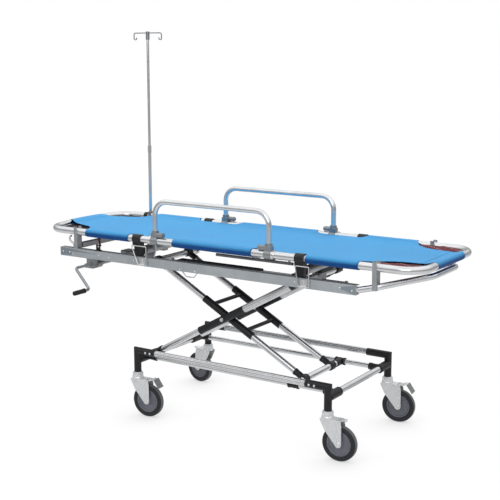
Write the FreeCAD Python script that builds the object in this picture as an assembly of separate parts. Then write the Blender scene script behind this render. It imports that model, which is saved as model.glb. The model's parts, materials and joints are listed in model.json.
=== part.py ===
import FreeCAD, Part
import math
import os

# Ambulance cot: wheeled X-lift carriage with a lift-off tube-frame stretcher.
# +X is the foot end, -X the head end (crank and drip pole), +Z up, floor at 0.
# -Y is the patient's right, +Y the patient's left. Millimetres.
# Pieces are modelled symmetrically about the carriage centre, then shifted on saving.

Vec = FreeCAD.Vector
os.makedirs("parts", exist_ok=True)

# driving dimensions ---------------------------------------------------------
SHIFT = Vec(82.5, 85.5, 0)            # brings the centre of the whole box onto the Z axis
SIDES = (-1, 1)                       # signs of Y: right, left
RUN = 0.05                            # radial running clearance
TUBE_WALL = 2.0

STEM_X, STEM_Y = 493.0, 277.0         # caster stems
STEM_R = 6.0
WHEEL_R, WHEEL_W = 75.0, 32.0
TRAIL = 55.0                          # axle offset from the caster stem
POST_BOTTOM, POST_R = 205.0, 16.5
BASE_RAIL_Z = 302.0                   # upper side tubes of the base
BASE_TUBE_R = 14.0                    # base, slide and pivot tubes
BASE_TUBE_BORE = BASE_TUBE_R - TUBE_WALL
Z_LOW = 260.0                         # lower leg pivots and guide rails
Z_TOP = 694.0                         # upper leg pivots
GUIDE_Y, GUIDE_R = 206.0, 11.0        # lower guide rails
SLIDE_X = 290.9                       # sliding leg ends at rest
PIVOT_X = (-STEM_X + SLIDE_X) / 2.0   # crossing of the legs
PIVOT_Z = (Z_LOW + Z_TOP) / 2.0
OUTER_LEG_Y, INNER_LEG_Y = 153.5, 117.0
LEG_R = 14.0
CHAN_X0, CHAN_X1 = -933.0, 617.0      # side channels of the upper frame
CHAN_OUT, CHAN_IN = 290.0, 260.0
CHAN_Z0, CHAN_Z1, CHAN_T = 700.0, 740.0, 3.0
STUB_Z = (CHAN_Z0 + CHAN_Z1) / 2.0    # stub pins of the upper slide
STUB_R = 9.0
BED_Y, BED_Z, BED_R = 275.0, 818.0, 16.0   # stretcher tube
BED_FOOT_X = 877.0
HEAD_POST_X, FOOT_POST_X = -836.0, 695.0
POST_HALF_X, POST_HALF_Y = 10.0, 18.5      # half sizes of the forked support posts
LATCH_X = HEAD_POST_X - POST_HALF_X - 6    # head latch hinges
LATCH_Z, LATCH_PIN_R = 752.0, 3.0
CRADLE_X = (-478.0, 358.0)            # cradles, round crossmembers and stretcher feet
CROSS_Z, CROSS_R, CROSS_END_Y = 762.0, 19.0, 256.0
CRADLE_OUT_Y = 280.0                  # outer face of the cradle blocks
DAMPER_Y, DAMPER_Z, DAMPER_ROD_R = -205.0, 728.0, 4.0
CRANK_X, CRANK_Z = -760.0, 671.0      # apex of the bevel gears
SHAFT_R, TORQUE_R, SCREW_R = 5.0, 9.0, 8.0
POLE_X, POLE_Y = -864.0, 303.0        # drip pole
POLE_OUT_R, POLE_IN_R = 8.0, 6.35     # outer radii of its lower and upper tubes
# wire loops: X at top left, bottom left and right
BAILS = {"head": (-500.0, -465.0, -418.0), "foot": (345.0, 359.0, 408.0)}
BAIL_Y, BAIL_Z, BAIL_TOP, BAIL_R = 297.0, 707.0, 790.0, 2.5

# name, sign of X, sign of Y, caster heading in degrees, brake pedal
CORNERS = (
    ("right_head", -1, -1, 6.0, "long"),
    ("right_foot", 1, -1, 4.0, "short"),
    ("left_head", -1, 1, 172.0, "short"),
    ("left_foot", 1, 1, 8.0, "long"),
)


# helpers --------------------------------------------------------------------
def cyl(start, end, radius):
    start, end = Vec(*start), Vec(*end)
    axis = end.sub(start)
    return Part.makeCylinder(radius, axis.Length, start, axis)


def cyl_x(x0, x1, y, z, radius):
    return cyl((x0, y, z), (x1, y, z), radius)


def cyl_y(x, y0, y1, z, radius):
    return cyl((x, y0, z), (x, y1, z), radius)


def cyl_z(x, y, z0, z1, radius):
    return cyl((x, y, z0), (x, y, z1), radius)


def tube_x(x0, x1, y, z, outer, bore):
    return cyl_x(x0, x1, y, z, outer).cut(cyl_x(x0, x1, y, z, bore))


def tube_y(x, y0, y1, z, outer, bore):
    return cyl_y(x, y0, y1, z, outer).cut(cyl_y(x, y0, y1, z, bore))


def tube_z(x, y, z0, z1, outer, bore):
    return cyl_z(x, y, z0, z1, outer).cut(cyl_z(x, y, z0, z1, bore))


def box(x0, x1, y0, y1, z0, z1):
    """Box between two limits on each axis, given in either order."""
    corner = Vec(min(x0, x1), min(y0, y1), min(z0, z1))
    return Part.makeBox(abs(x1 - x0), abs(y1 - y0), abs(z1 - z0), corner)


def rounded_box(x0, x1, y0, y1, z0, z1, radius):
    block = box(x0, x1, y0, y1, z0, z1)
    return block.makeFillet(radius, block.Edges)


def upright_edges(shape, min_height):
    return [edge for edge in shape.Edges
            if abs(edge.Vertexes[0].Point.z - edge.Vertexes[-1].Point.z) > min_height]


def face(points):
    """Flat face inside the closed polygon through the points."""
    return Part.Face(Part.makePolygon(points + [points[0]]))


def plate(outline, y, depth):
    """Outline of (x, z) points at y, extruded by a signed depth along Y."""
    return face([Vec(x, y, z) for x, z in outline]).extrude(Vec(0, depth, 0))


def hex_prism(x, y0, y1, z, across):
    """Hexagon bolt head or nut along Y."""
    low, corner_r = min(y0, y1), across / math.sqrt(3.0)
    angles = [math.radians(60 * i + 30) for i in range(6)]
    outline = [(x + corner_r * math.cos(a), z + corner_r * math.sin(a)) for a in angles]
    return plate(outline, low, abs(y1 - y0))


def dome_y(x, centre_y, z, radius, y0, y1, slice_r):
    """Slice of a sphere between y0 and y1."""
    return Part.makeSphere(radius, Vec(x, centre_y, z)).common(cyl_y(x, y0, y1, z, slice_r))


def fuse(*shapes):
    result = shapes[0]
    for shape in shapes[1:]:
        result = result.fuse(shape)
    return result.removeSplitter()


def cut(shape, *tools):
    for tool in tools:
        shape = shape.cut(tool)
    return shape


def group(shapes):
    return Part.makeCompound([solid for shape in shapes for solid in shape.Solids])


def largest_solid(shape):
    return Part.makeCompound([max(shape.Solids, key=lambda solid: solid.Volume)])


def rounded_path(points, radii):
    """Polyline with one bend radius for each inner corner."""
    points = [Vec(*point) for point in points]
    edges = []
    start = points[0]
    for i, radius in enumerate(radii, 1):
        before, corner, after = points[i - 1], points[i], points[i + 1]
        back = before.sub(corner).normalize()
        ahead = after.sub(corner).normalize()
        angle = math.acos(max(-1.0, min(1.0, back.dot(ahead))))
        setback = radius / math.tan(angle / 2.0)
        bisector = back.add(ahead).normalize()
        centre = corner.add(Vec(bisector).multiply(radius / math.sin(angle / 2.0)))
        middle = centre.sub(Vec(bisector).multiply(radius))
        bend_start = corner.add(Vec(back).multiply(setback))
        bend_end = corner.add(Vec(ahead).multiply(setback))
        if start.sub(bend_start).Length > 1e-6:
            edges.append(Part.makeLine(start, bend_start))
        edges.append(Part.Arc(bend_start, middle, bend_end).toShape())
        start = bend_end
    edges.append(Part.makeLine(start, points[-1]))
    return Part.Wire(edges)


def sweep(path, radius):
    """Round bar along a path."""
    first = path.Edges[0]
    origin = first.valueAt(first.FirstParameter)
    tangent = first.tangentAt(first.FirstParameter)
    profile = Part.Wire([Part.makeCircle(radius, origin, tangent)])
    return path.makePipeShell([profile], True, False)


def fluted_tube(length, radius, depth, count):
    """Ribbed extruded tube along +X from the origin."""
    points = []
    for i in range(count):
        for fraction, reach in ((0.0, radius - depth), (0.25, radius), (0.75, radius)):
            angle = 2.0 * math.pi * (i + fraction) / count
            points.append(Vec(0, reach * math.cos(angle), reach * math.sin(angle)))
    solid = face(points).extrude(Vec(length, 0, 0))
    return solid.cut(cyl_x(-1, length + 1, 0, 0, radius - depth - 1.8))


def save(name, shapes):
    piece = group(shapes)
    piece.translate(SHIFT)
    piece.exportStep("parts/%s.step" % name)


# base -----------------------------------------------------------------------
SIDE_TUBE_END = STEM_X - 20
GUIDE_END = STEM_X - 15
BASE_RIVET_X = (411.0, 436.0)


def corner_post(x, y, end):
    """Upright and side-tube socket, mitred at 45 degrees."""
    upright = cyl_z(x, y, POST_BOTTOM, BASE_RAIL_Z + 40, POST_R)
    socket = cyl_x(end * 390.0, x + end * 40, y, BASE_RAIL_Z, POST_R)
    reach = 200.0
    inboard, outboard = x - end * reach, x + end * reach
    low = BASE_RAIL_Z - reach
    below_mitre = plate([(inboard, low), (outboard, BASE_RAIL_Z + reach),
                         (outboard, low - 50), (inboard, low - 50)], y - 60, 120)
    post = fuse(upright.common(below_mitre), socket.cut(below_mitre))
    return cut(post, cyl_z(x, y, POST_BOTTOM - 1, POST_BOTTOM + 50, STEM_R + RUN),
               cyl_x(end * 380, end * SIDE_TUBE_END, y, BASE_RAIL_Z, BASE_TUBE_R))


def base_tee(x, y, end, side):
    """Joint of an end tube, a guide rail and a corner post."""
    guide_y, mouth_x = side * GUIDE_Y, end * 437.0
    sleeve = cyl_y(x, side * 184, side * (STEM_Y - 5), Z_LOW, 19.5)
    branch = cyl_x(x, mouth_x, guide_y, Z_LOW, 14.5)
    ring = cyl_x(end * 449.0, mouth_x, guide_y, Z_LOW, 16.0)
    return cut(fuse(sleeve, branch, ring),
               cyl_y(x, side * 150, side * 290, Z_LOW, BASE_TUBE_R),
               cyl_z(x, y, 200, 320, POST_R),
               cyl_x(-GUIDE_END, GUIDE_END, guide_y, Z_LOW, GUIDE_R))


def base_rivet(x, side):
    """Rivet through the outer wall of a corner post socket."""
    surface = side * (STEM_Y + POST_R)
    shank = cyl_y(x, side * (STEM_Y + 8), surface, BASE_RAIL_Z, 2.4)
    head = dome_y(x, surface - side * 2.0, BASE_RAIL_Z, 6.0,
                  surface - side * 0.6, surface + side * 6, 6.0)
    return fuse(shank, head)


def base_side_tube(side):
    bar = fluted_tube(2 * SIDE_TUBE_END, BASE_TUBE_R, 0.7, 18)
    bar.translate(Vec(-SIDE_TUBE_END, side * STEM_Y, BASE_RAIL_Z))
    return bar


end_tube_reach = STEM_Y - POST_R - 0.3
end_tubes = [tube_y(end * STEM_X, -end_tube_reach, end_tube_reach, Z_LOW,
                    BASE_TUBE_R, BASE_TUBE_BORE) for end in (-1, 1)]
guide_rails = [tube_x(-GUIDE_END, GUIDE_END, side * GUIDE_Y, Z_LOW,
                      GUIDE_R, GUIDE_R - TUBE_WALL) for side in SIDES]
posts, tees, base_rivets = [], [], []
for _, end, side, _, _ in CORNERS:
    x, y = end * STEM_X, side * STEM_Y
    posts.append(corner_post(x, y, end))
    tees.append(base_tee(x, y, end, side))
    base_rivets += [base_rivet(end * rivet_x, side) for rivet_x in BASE_RIVET_X]
rivet_tool = group(base_rivets)
save("corner_posts", [post.cut(rivet_tool) for post in posts] + base_rivets)
save("base_side_tubes", [base_side_tube(side).cut(rivet_tool) for side in SIDES])
save("base_end_tubes", end_tubes)
save("lower_guide_rails", [rail.cut(group(end_tubes)) for rail in guide_rails])
save("base_tees", tees)

# casters ----------------------------------------------------------------------
# Modelled with the stem on the Z axis and the wheel trailing along +X.
AXLE_Z = WHEEL_R
AXLE_R = 5.0
HUB_HALF, HUB_R = 15.5, 15.0
CHEEK_Y, CHEEK_T = 18.5, 3.0          # inner face and thickness of the fork cheeks
WEB_TOP = 175.5
HINGE_X, HINGE_Z, HINGE_R = 56.0, 168.0, 2.5
PAD_X, PAD_Z, PAD_TILT = 106.0, 160.0, 56.0

# (x, z) outlines
CHEEK = [(-26, WEB_TOP), (64, WEB_TOP), (69, 150), (69.3, 77), (41.5, 70), (-6, 128), (-26, 168)]
CHEEK_RIB = [(6, 168), (40, 168), (61, 98), (46, 98)]
LONG_ARM = [(54, 164), (61, 172.5), (86, 182), (93, 178.5), (90, 175.5), (86, 177), (63, 168)]
SHORT_ARM = [(52, 165), (57, 173), (80, 179), (85, 176.5), (84, 170), (81.5, 170.5), (80, 175),
             (62, 169)]
# half sections: (distance from the wheel's mid plane, radius)
TYRE = [(-WHEEL_W / 2 + 4, 53.0), (WHEEL_W / 2 - 4, 53.0), (WHEEL_W / 2 - 1.5, 57.0),
        (WHEEL_W / 2, 64.0), (WHEEL_W / 2 - 2.0, 71.0), (WHEEL_W / 2 - 7.0, 74.6), (0, WHEEL_R),
        (-WHEEL_W / 2 + 7.0, 74.6), (-WHEEL_W / 2 + 2.0, 71.0), (-WHEEL_W / 2, 64.0),
        (-WHEEL_W / 2 + 1.5, 57.0)]
WHEEL_CORE = [(-12, 53.0), (12, 53.0), (12, 48.5), (8.0, 45.0), (8.0, 20.0), (HUB_HALF, HUB_R),
              (HUB_HALF, AXLE_R + RUN), (-HUB_HALF, AXLE_R + RUN), (-HUB_HALF, HUB_R),
              (-8.0, 20.0), (-8.0, 45.0), (-12, 48.5)]


def fork_cheek(side):
    """Tapering cheek with a rounded axle end and a pressed stiffening rib."""
    y, outer_y = side * CHEEK_Y, side * CHEEK_Y + side * CHEEK_T
    cheek = plate(CHEEK, y, side * CHEEK_T).fuse(cyl_y(TRAIL, y, outer_y, AXLE_Z, 14.5))
    return cheek.fuse(plate(CHEEK_RIB, outer_y, side * 1.6))


def fork_body():
    """Sheet fork with two lugs that carry the brake pedal hinge."""
    top = cyl_z(0, 0, 172, 180, 26.0)
    web = box(0, 48, -21.5, 21.5, 172, WEB_TOP)
    body = fuse(top, web, *[fork_cheek(side) for side in SIDES])
    body = cut(body, cyl_y(TRAIL, -40, 40, AXLE_Z, AXLE_R), cyl_z(0, 0, 160, 200, STEM_R))
    lugs = box(40, 62, -16.0, -12.0, 163, WEB_TOP).fuse(box(40, 62, 12.0, 16.0, 163, WEB_TOP))
    body = fuse(body, lugs.fuse(box(40, 50, -16, 16, 172, WEB_TOP)))
    return body.cut(cyl_y(HINGE_X, -30, 30, HINGE_Z, HINGE_R))


def swivel_collar():
    collar = fuse(cyl_z(0, 0, 199, 204.5, 20.0), cyl_z(0, 0, 184, 199, 24.0),
                  Part.makeCone(26.0, 24.0, 4.0, Vec(0, 0, 180), Vec(0, 0, 1)))
    return collar.cut(cyl_z(0, 0, 170, 250, STEM_R))


def axle_bolt():
    return fuse(cyl_y(TRAIL, -26, 23, AXLE_Z, AXLE_R),
                hex_prism(TRAIL, -26.5, -21.6, AXLE_Z, 15),
                cyl_y(TRAIL, 21.6, 22.6, AXLE_Z, 8.0))


def wheel_ring(half_section):
    points = [Vec(radius, across, 0) for across, radius in half_section]
    ring = face(points).revolve(Vec(0, 0, 0), Vec(0, 1, 0), 360)
    ring.translate(Vec(TRAIL, 0, AXLE_Z))
    return ring


def foot_pad():
    """Tilted pad with five grooves."""
    pad = rounded_box(-23, 23, -20, 20, 0, 7.0, 1.5)
    pad = cut(pad, *[box(-18.4 + 8 * i, -15.6 + 8 * i, -22, 22, 5.4, 9) for i in range(5)])
    pad.rotate(Vec(0, 0, 0), Vec(0, 1, 0), PAD_TILT)
    pad.translate(Vec(PAD_X, 0, PAD_Z))
    return pad


def pedal_lever(arm):
    """Arm joined to a barrel that turns on the hinge pin."""
    barrel = cyl_y(HINGE_X, -11.0, 11.0, HINGE_Z, 5.5)
    return fuse(barrel, arm).cut(cyl_y(HINGE_X, -20, 20, HINGE_Z, HINGE_R + RUN))


def long_pedal():
    """Lever whose outer part is widened, with a foot pad."""
    arm = plate(LONG_ARM, -11, 22)
    tip = arm.common(box(69, 120, -30, 30, 150, 200))
    arm = arm.fuse(tip.translated(Vec(0, -6, 0))).fuse(tip.translated(Vec(0, 6, 0)))
    pad = foot_pad()
    return [pedal_lever(largest_solid(arm.removeSplitter().cut(pad))), pad]


def short_pedal():
    """Plain tongue."""
    return [pedal_lever(plate(SHORT_ARM, -11.5, 23))]


def placed(shapes, x, y, heading):
    """Copies turned about the stem and moved to a corner."""
    copies = [shape.copy() for shape in shapes]
    for shape in copies:
        shape.rotate(Vec(0, 0, 0), Vec(0, 0, 1), heading)
        shape.translate(Vec(x, y, 0))
    return copies


fork_shapes = [fork_body(), cyl_z(0, 0, 176, 250, STEM_R), swivel_collar(),
               cyl_y(HINGE_X, -18.0, 18.0, HINGE_Z, HINGE_R),
               axle_bolt(), hex_prism(TRAIL, 23.0, 29.0, AXLE_Z, 16)]
wheel_shapes = [wheel_ring(TYRE), wheel_ring(WHEEL_CORE)]
pedals = {"long": long_pedal(), "short": short_pedal()}
for corner, end, side, heading, pedal in CORNERS:
    location = (end * STEM_X, side * STEM_Y, heading)
    save("caster_fork_" + corner, placed(fork_shapes, *location))
    save("caster_wheel_" + corner, placed(wheel_shapes, *location))
    save("brake_pedal_" + corner, placed(pedals[pedal], *location))

# X legs -----------------------------------------------------------------------
LEG_DX, LEG_DZ = SLIDE_X + STEM_X, Z_TOP - Z_LOW
LEG_LEN = math.hypot(LEG_DX, LEG_DZ)
LEG_UX, LEG_UZ = LEG_DX / LEG_LEN, LEG_DZ / LEG_LEN
LEG_MID = LEG_LEN / 2.0
LEG_GAP = 22.0                        # from a cross tube's axis to the end of the leg tube
SLEEVE_HALF = 146.0
SLEEVE_START = LEG_MID - SLEEVE_HALF
OUTER_SLEEVE_END = LEG_MID + SLEEVE_HALF - 20
UPPER_TUBE_END = LEG_LEN - 60
OUTER_SLEEVE_R, INNER_SLEEVE_R = 17.2, 17.0
PIVOT_BOLT_R = 5.0
WASHER_FACE = OUTER_LEG_Y + 18.7


def on_outer(distance, y):
    """Point on an outer leg, measured from its lower head-end pivot."""
    return (-STEM_X + LEG_UX * distance, y, Z_LOW + LEG_UZ * distance)


def on_inner(distance, y):
    """Point on an inner leg, measured from its upper head-end pivot."""
    return (-STEM_X + LEG_UX * distance, y, Z_TOP - LEG_UZ * distance)


def leg_bar(on_leg, y, radius=LEG_R):
    return cyl(on_leg(LEG_GAP, y), on_leg(LEG_LEN - LEG_GAP, y), radius)


def leg_tube(on_leg, y):
    return leg_bar(on_leg, y).cut(leg_bar(on_leg, y, LEG_R - TUBE_WALL))


def pivot_holes(radius):
    return [cyl_y(PIVOT_X, side * 90, side * 175, PIVOT_Z, radius) for side in SIDES]


def leg_eye(on_leg, pivot, direction, y, neck_r):
    """End fitting: an eye round a cross tube and a socket for the leg tube."""
    def inward(distance):
        return on_leg(pivot + direction * distance, y)

    x, _, z = on_leg(pivot, y)
    ring = cyl_y(x, y - 15, y + 15, z, 20)
    neck = cyl(inward(8), inward(56), neck_r)
    lip = cyl(inward(46), inward(56), neck_r + 1.3)
    eye = fuse(ring, neck, lip).cut(cyl_y(x, y - 24, y + 24, z, BASE_TUBE_R + RUN))
    return eye.cut(cyl(inward(LEG_GAP), inward(60), LEG_R))


def leg_eyes(on_leg, leg_y, neck_r):
    return [leg_eye(on_leg, pivot, direction, side * leg_y, neck_r)
            for side in SIDES for pivot, direction in ((0, 1), (LEG_LEN, -1))]


def outer_sleeve(y):
    sleeve = fuse(cyl(on_outer(SLEEVE_START, y), on_outer(OUTER_SLEEVE_END, y), OUTER_SLEEVE_R),
                  cyl(on_outer(SLEEVE_START, y), on_outer(SLEEVE_START + 5, y), 18.0))
    return cut(sleeve, leg_bar(on_outer, y), *pivot_holes(PIVOT_BOLT_R))


def outer_upper_tube(y):
    """Ribbed tube over the leg tube, above the sleeve."""
    upper = fluted_tube(UPPER_TUBE_END - OUTER_SLEEVE_END, 17.0, 0.8, 20)
    upper.rotate(Vec(0, 0, 0), Vec(0, 1, 0), -math.degrees(math.atan2(LEG_UZ, LEG_UX)))
    upper.translate(Vec(*on_outer(OUTER_SLEEVE_END, y)))
    return upper.cut(leg_bar(on_outer, y))


def inner_frame():
    """Two sleeves joined by two crossbars."""
    sleeves = [cyl(on_inner(SLEEVE_START, side * INNER_LEG_Y),
                   on_inner(LEG_MID + SLEEVE_HALF, side * INNER_LEG_Y), INNER_SLEEVE_R)
               for side in SIDES]
    bars = [cyl(on_inner(LEG_MID + offset, -INNER_LEG_Y),
                on_inner(LEG_MID + offset, INNER_LEG_Y), 9.0) for offset in (-100, 100)]
    bores = [leg_bar(on_inner, side * INNER_LEG_Y) for side in SIDES]
    return cut(fuse(*sleeves, *bars), *bores, *pivot_holes(PIVOT_BOLT_R + RUN))


def pivot_bolt(side):
    """Bolt with washer and nut, and the spacer between the legs."""
    head = hex_prism(PIVOT_X, side * WASHER_FACE, side * (WASHER_FACE + 5.5), PIVOT_Z, 13)
    washer = cyl_y(PIVOT_X, side * (OUTER_LEG_Y + 16.0), side * (OUTER_LEG_Y + 18.8), PIVOT_Z, 8.5)
    shank = cyl_y(PIVOT_X, side * 95, side * WASHER_FACE, PIVOT_Z, PIVOT_BOLT_R)
    nut = hex_prism(PIVOT_X, side * 93.5, side * 99.5, PIVOT_Z, 16)
    spacer = tube_y(PIVOT_X, side * (INNER_LEG_Y + 17.1), side * (OUTER_LEG_Y - OUTER_SLEEVE_R),
                    PIVOT_Z, 9.0, PIVOT_BOLT_R)
    return [fuse(shank, head, washer).fuse(nut), spacer]


pivot_bolts = pivot_bolt(-1) + pivot_bolt(1)
bolt_tool = group(pivot_bolts)
outer_ys = [side * OUTER_LEG_Y for side in SIDES]
save("outer_leg_tubes",
     [cut(leg_tube(on_outer, y), *pivot_holes(PIVOT_BOLT_R), bolt_tool) for y in outer_ys]
     + [outer_upper_tube(y) for y in outer_ys])
save("outer_leg_sleeves", [outer_sleeve(y).cut(bolt_tool) for y in outer_ys])
save("outer_leg_eyes", leg_eyes(on_outer, OUTER_LEG_Y, 16.5))
save("leg_pivot_bolts", pivot_bolts)
save("inner_leg_tubes", [cut(leg_tube(on_inner, side * INNER_LEG_Y),
                             *pivot_holes(PIVOT_BOLT_R + RUN)) for side in SIDES])
save("inner_leg_frame", [inner_frame()])
save("inner_leg_eyes", leg_eyes(on_inner, INNER_LEG_Y, 14.3))

# lower slide --------------------------------------------------------------------
LOWER_SLIDE_HALF = 192.0


def lower_slide_tee(side):
    """Runner on a guide rail with a socket for the slide tube."""
    y = side * GUIDE_Y
    tee = fuse(cyl_x(SLIDE_X - 24, SLIDE_X + 24, y, Z_LOW, 15.5),
               cyl_y(SLIDE_X, side * 158, y, Z_LOW, 17.5),
               cyl_x(SLIDE_X - 24, SLIDE_X - 18, y, Z_LOW, 17.0),
               cyl_x(SLIDE_X + 18, SLIDE_X + 24, y, Z_LOW, 17.0))
    return cut(tee, cyl_x(SLIDE_X - 40, SLIDE_X + 40, y, Z_LOW, GUIDE_R + 0.4),
               cyl_y(SLIDE_X, -LOWER_SLIDE_HALF, LOWER_SLIDE_HALF, Z_LOW, BASE_TUBE_R))


save("lower_slide_tube", [tube_y(SLIDE_X, -LOWER_SLIDE_HALF, LOWER_SLIDE_HALF, Z_LOW,
                                 BASE_TUBE_R, BASE_TUBE_BORE)])
save("lower_slide_tees", [lower_slide_tee(side) for side in SIDES])

# upper slide --------------------------------------------------------------------
UPPER_SLIDE_HALF = 184.0
PLATE_IN, PLATE_OUT = 174.0, 182.0    # faces of the riser plates


def upper_slide_block(side):
    """Block in the channel, stub pin and the riser plate that holds the cross tube below it."""
    y_in, y_out = side * PLATE_IN, side * PLATE_OUT
    block = fuse(box(SLIDE_X - 40, SLIDE_X + 40, side * 262, side * 285, 704.2, 735.8),
                 cyl_y(SLIDE_X, y_in, side * 264, STUB_Z, STUB_R),
                 box(SLIDE_X - 17, SLIDE_X + 17, y_in, y_out, 682, 734),
                 cyl_y(SLIDE_X, y_in, y_out, Z_TOP, 18.5))
    return block.cut(cyl_y(SLIDE_X, -UPPER_SLIDE_HALF, UPPER_SLIDE_HALF, Z_TOP, BASE_TUBE_R))


def lift_nut():
    """Block on the lead screw that carries the slide tube."""
    return cut(rounded_box(SLIDE_X - 24, SLIDE_X + 24, -22, 22, 652, 712, 3),
               cyl_y(SLIDE_X, -60, 60, Z_TOP, BASE_TUBE_R),
               cyl_x(SLIDE_X - 60, SLIDE_X + 60, 0, CRANK_Z, SCREW_R + RUN))


def damper_rod():
    """Rod with a square eye on the right stub pin."""
    rod = cyl_x(30, SLIDE_X - 11, DAMPER_Y, DAMPER_Z, DAMPER_ROD_R)
    eye = box(SLIDE_X - 13, SLIDE_X + 13, DAMPER_Y - 6, DAMPER_Y + 6, 708, 735)
    return fuse(rod, eye.cut(cyl_y(SLIDE_X, -264, -170, STUB_Z, STUB_R)))


save("upper_slide_tube", [tube_y(SLIDE_X, -UPPER_SLIDE_HALF, UPPER_SLIDE_HALF, Z_TOP,
                                 BASE_TUBE_R, BASE_TUBE_BORE), damper_rod()])
save("upper_slide_blocks", [upper_slide_block(side) for side in SIDES] + [lift_nut()])

# upper frame --------------------------------------------------------------------
MOUNT_HOLE_X = (-918.0, -878.0)
# rivets through the channel webs: (x, z)
FRAME_RIVETS = [(545.0, 722.0), (598.0, 716.0), (-858.0, 712.0), (-700.0, 720.0),
                (-640.0, 716.0), (-497.0, 720.0), (339.0, 721.0), (-160.0, 708.0),
                (-240.0, 708.0)]
# U-shaped handle between the channels: bend points for y < 0, then mirrored; bend radii
HANDLE_HALF = [(556, -274, 720), (622, -274, 720), (700, -274, 740), (864, -114, 774)]
HANDLE_BENDS = [60, 60, 42, 42, 60, 60]
HANDLE_R = 12.9
# cable loop below a channel: (x, z) bend points
LOOP = [(-244, 700.0), (-238, 690), (-222, 674), (-182, 674), (-166, 690), (-160, 700.0)]


def side_channel(side):
    """C section open towards the middle."""
    return box(CHAN_X0, CHAN_X1, side * CHAN_IN, side * CHAN_OUT, CHAN_Z0, CHAN_Z1).cut(
        box(CHAN_X0 - 1, CHAN_X1 + 1, side * (CHAN_IN - 1), side * (CHAN_OUT - CHAN_T),
            CHAN_Z0 + CHAN_T, CHAN_Z1 - CHAN_T))


def frame_rivet(x, z, side):
    shank = cyl_y(x, side * (CHAN_OUT - CHAN_T), side * CHAN_OUT, z, 2.6)
    head = dome_y(x, side * (CHAN_OUT - 2.6), z, 4.6, side * CHAN_OUT, side * (CHAN_OUT + 5), 7.0)
    return fuse(shank, head)


def bail_clip(x0, x1, side):
    """Pivot clip of a wire loop, riveted to the channel web."""
    web_y, wire_y, mid_x = side * CHAN_OUT, side * BAIL_Y, (x0 + x1) / 2
    clip = fuse(box(x0, x1, web_y, side * (CHAN_OUT + 2), 702, 735),
                box(x0, x1, web_y, wire_y, BAIL_Z - 4, BAIL_Z + 4),
                cyl_x(x0, x1, wire_y, BAIL_Z, 5.2))
    clip = clip.cut(cyl_x(x0 - 5, x1 + 5, wire_y, BAIL_Z, BAIL_R + RUN))
    for z in (718.0, 729.0):
        clip = fuse(clip, dome_y(mid_x, side * (CHAN_OUT - 0.4), z, 4.2,
                                 side * (CHAN_OUT + 1.5), side * (CHAN_OUT + 6), 6.0))
    return clip


def support_post(x, bottom, side):
    """Upright block with an open slot for the stretcher tube."""
    y = side * BED_Y
    post = box(x - POST_HALF_X, x + POST_HALF_X, side * (BED_Y - POST_HALF_Y),
               side * (BED_Y + POST_HALF_Y), bottom, 842)
    post = post.makeFillet(4.0, upright_edges(post, 20))
    slot_r = BED_R + 0.4
    slot = cyl_x(x - 40, x + 40, y, BED_Z, slot_r).fuse(
        box(x - 40, x + 40, y - slot_r, y + slot_r, BED_Z, 860))
    return post.cut(slot)


def latch_hinge(side):
    """Two cheeks and a pin on the head-end face of a head support post."""
    y = side * BED_Y
    cheeks = [fuse(cyl_y(LATCH_X, y + sign * 6.1, y + sign * 10, LATCH_Z, 6.0),
                   box(LATCH_X, HEAD_POST_X - POST_HALF_X + 1, y + sign * 6.1, y + sign * 10,
                       LATCH_Z - 6, LATCH_Z + 6)) for sign in (-1, 1)]
    return cheeks + [cyl_y(LATCH_X, y - 10, y + 10, LATCH_Z, LATCH_PIN_R)]


def head_crossmember():
    """Square tube between the head support posts."""
    half_length = BED_Y - POST_HALF_Y
    return box(HEAD_POST_X - 14, HEAD_POST_X + 14, -half_length, half_length, 741, 763).cut(
        box(HEAD_POST_X - 12, HEAD_POST_X + 12, -BED_Y, BED_Y, 743, 761))


def cradle_block(x, side):
    """Block on the channel with a pocket for a stretcher foot and a boss on the crossmember."""
    outline = [(x - 16, CHAN_Z1), (x + 16, CHAN_Z1), (x + 21, 786), (x - 21, 786)]
    block = plate(outline, side * CRADLE_OUT_Y, -side * 24)
    block = block.cut(box(x - 15.5, x + 15.5, side * 260.5, side * 276.5, 779.5, 790))
    boss = tube_y(x, side * CROSS_END_Y, side * 238, CROSS_Z, 22.0, CROSS_R)
    return cut(fuse(block, boss), *crossmembers)


def buffer_block():
    """Block below the foot-side round crossmember."""
    x = CRADLE_X[1]
    return box(x - 14, x + 14, -125, -20, 731, 752).cut(cyl_y(x, -130, 0, CROSS_Z, CROSS_R))


def pivot_bracket(side):
    """Plate from the head-side round crossmember down to the leg pivot tube."""
    low_x, high_x = -STEM_X, CRADLE_X[0]
    outline = [(low_x - 17, Z_TOP - 13), (low_x + 17, Z_TOP - 13), (high_x + 24, 748),
               (high_x + 24, 778), (high_x - 24, 778), (low_x - 24, 730)]
    bracket = plate(outline, side * 176, side * 8).fuse(
        cyl_y(low_x, side * 176, side * 184, Z_TOP, 18.5))
    return cut(bracket, cyl_y(low_x, -190, 190, Z_TOP, BASE_TUBE_R),
               cyl_y(high_x, -190, 190, CROSS_Z, CROSS_R))


def damper_cylinder():
    body = fuse(cyl_x(-271, 131, DAMPER_Y, DAMPER_Z, 11.5),
                box(-292, -268, -260, DAMPER_Y + 8, 716, 738))
    return cut(body, cyl_x(-262, 121, DAMPER_Y, DAMPER_Z, 9.0),
               cyl_x(100, 135, DAMPER_Y, DAMPER_Z, DAMPER_ROD_R + RUN))


def cable_loop(side):
    path = rounded_path([(x, side * 266, z) for x, z in LOOP], [8, 8, 8, 8])
    return sweep(path, 2.5).cut(box(-260, -140, -300, 300, CHAN_Z0, CHAN_Z0 + 10))


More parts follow.
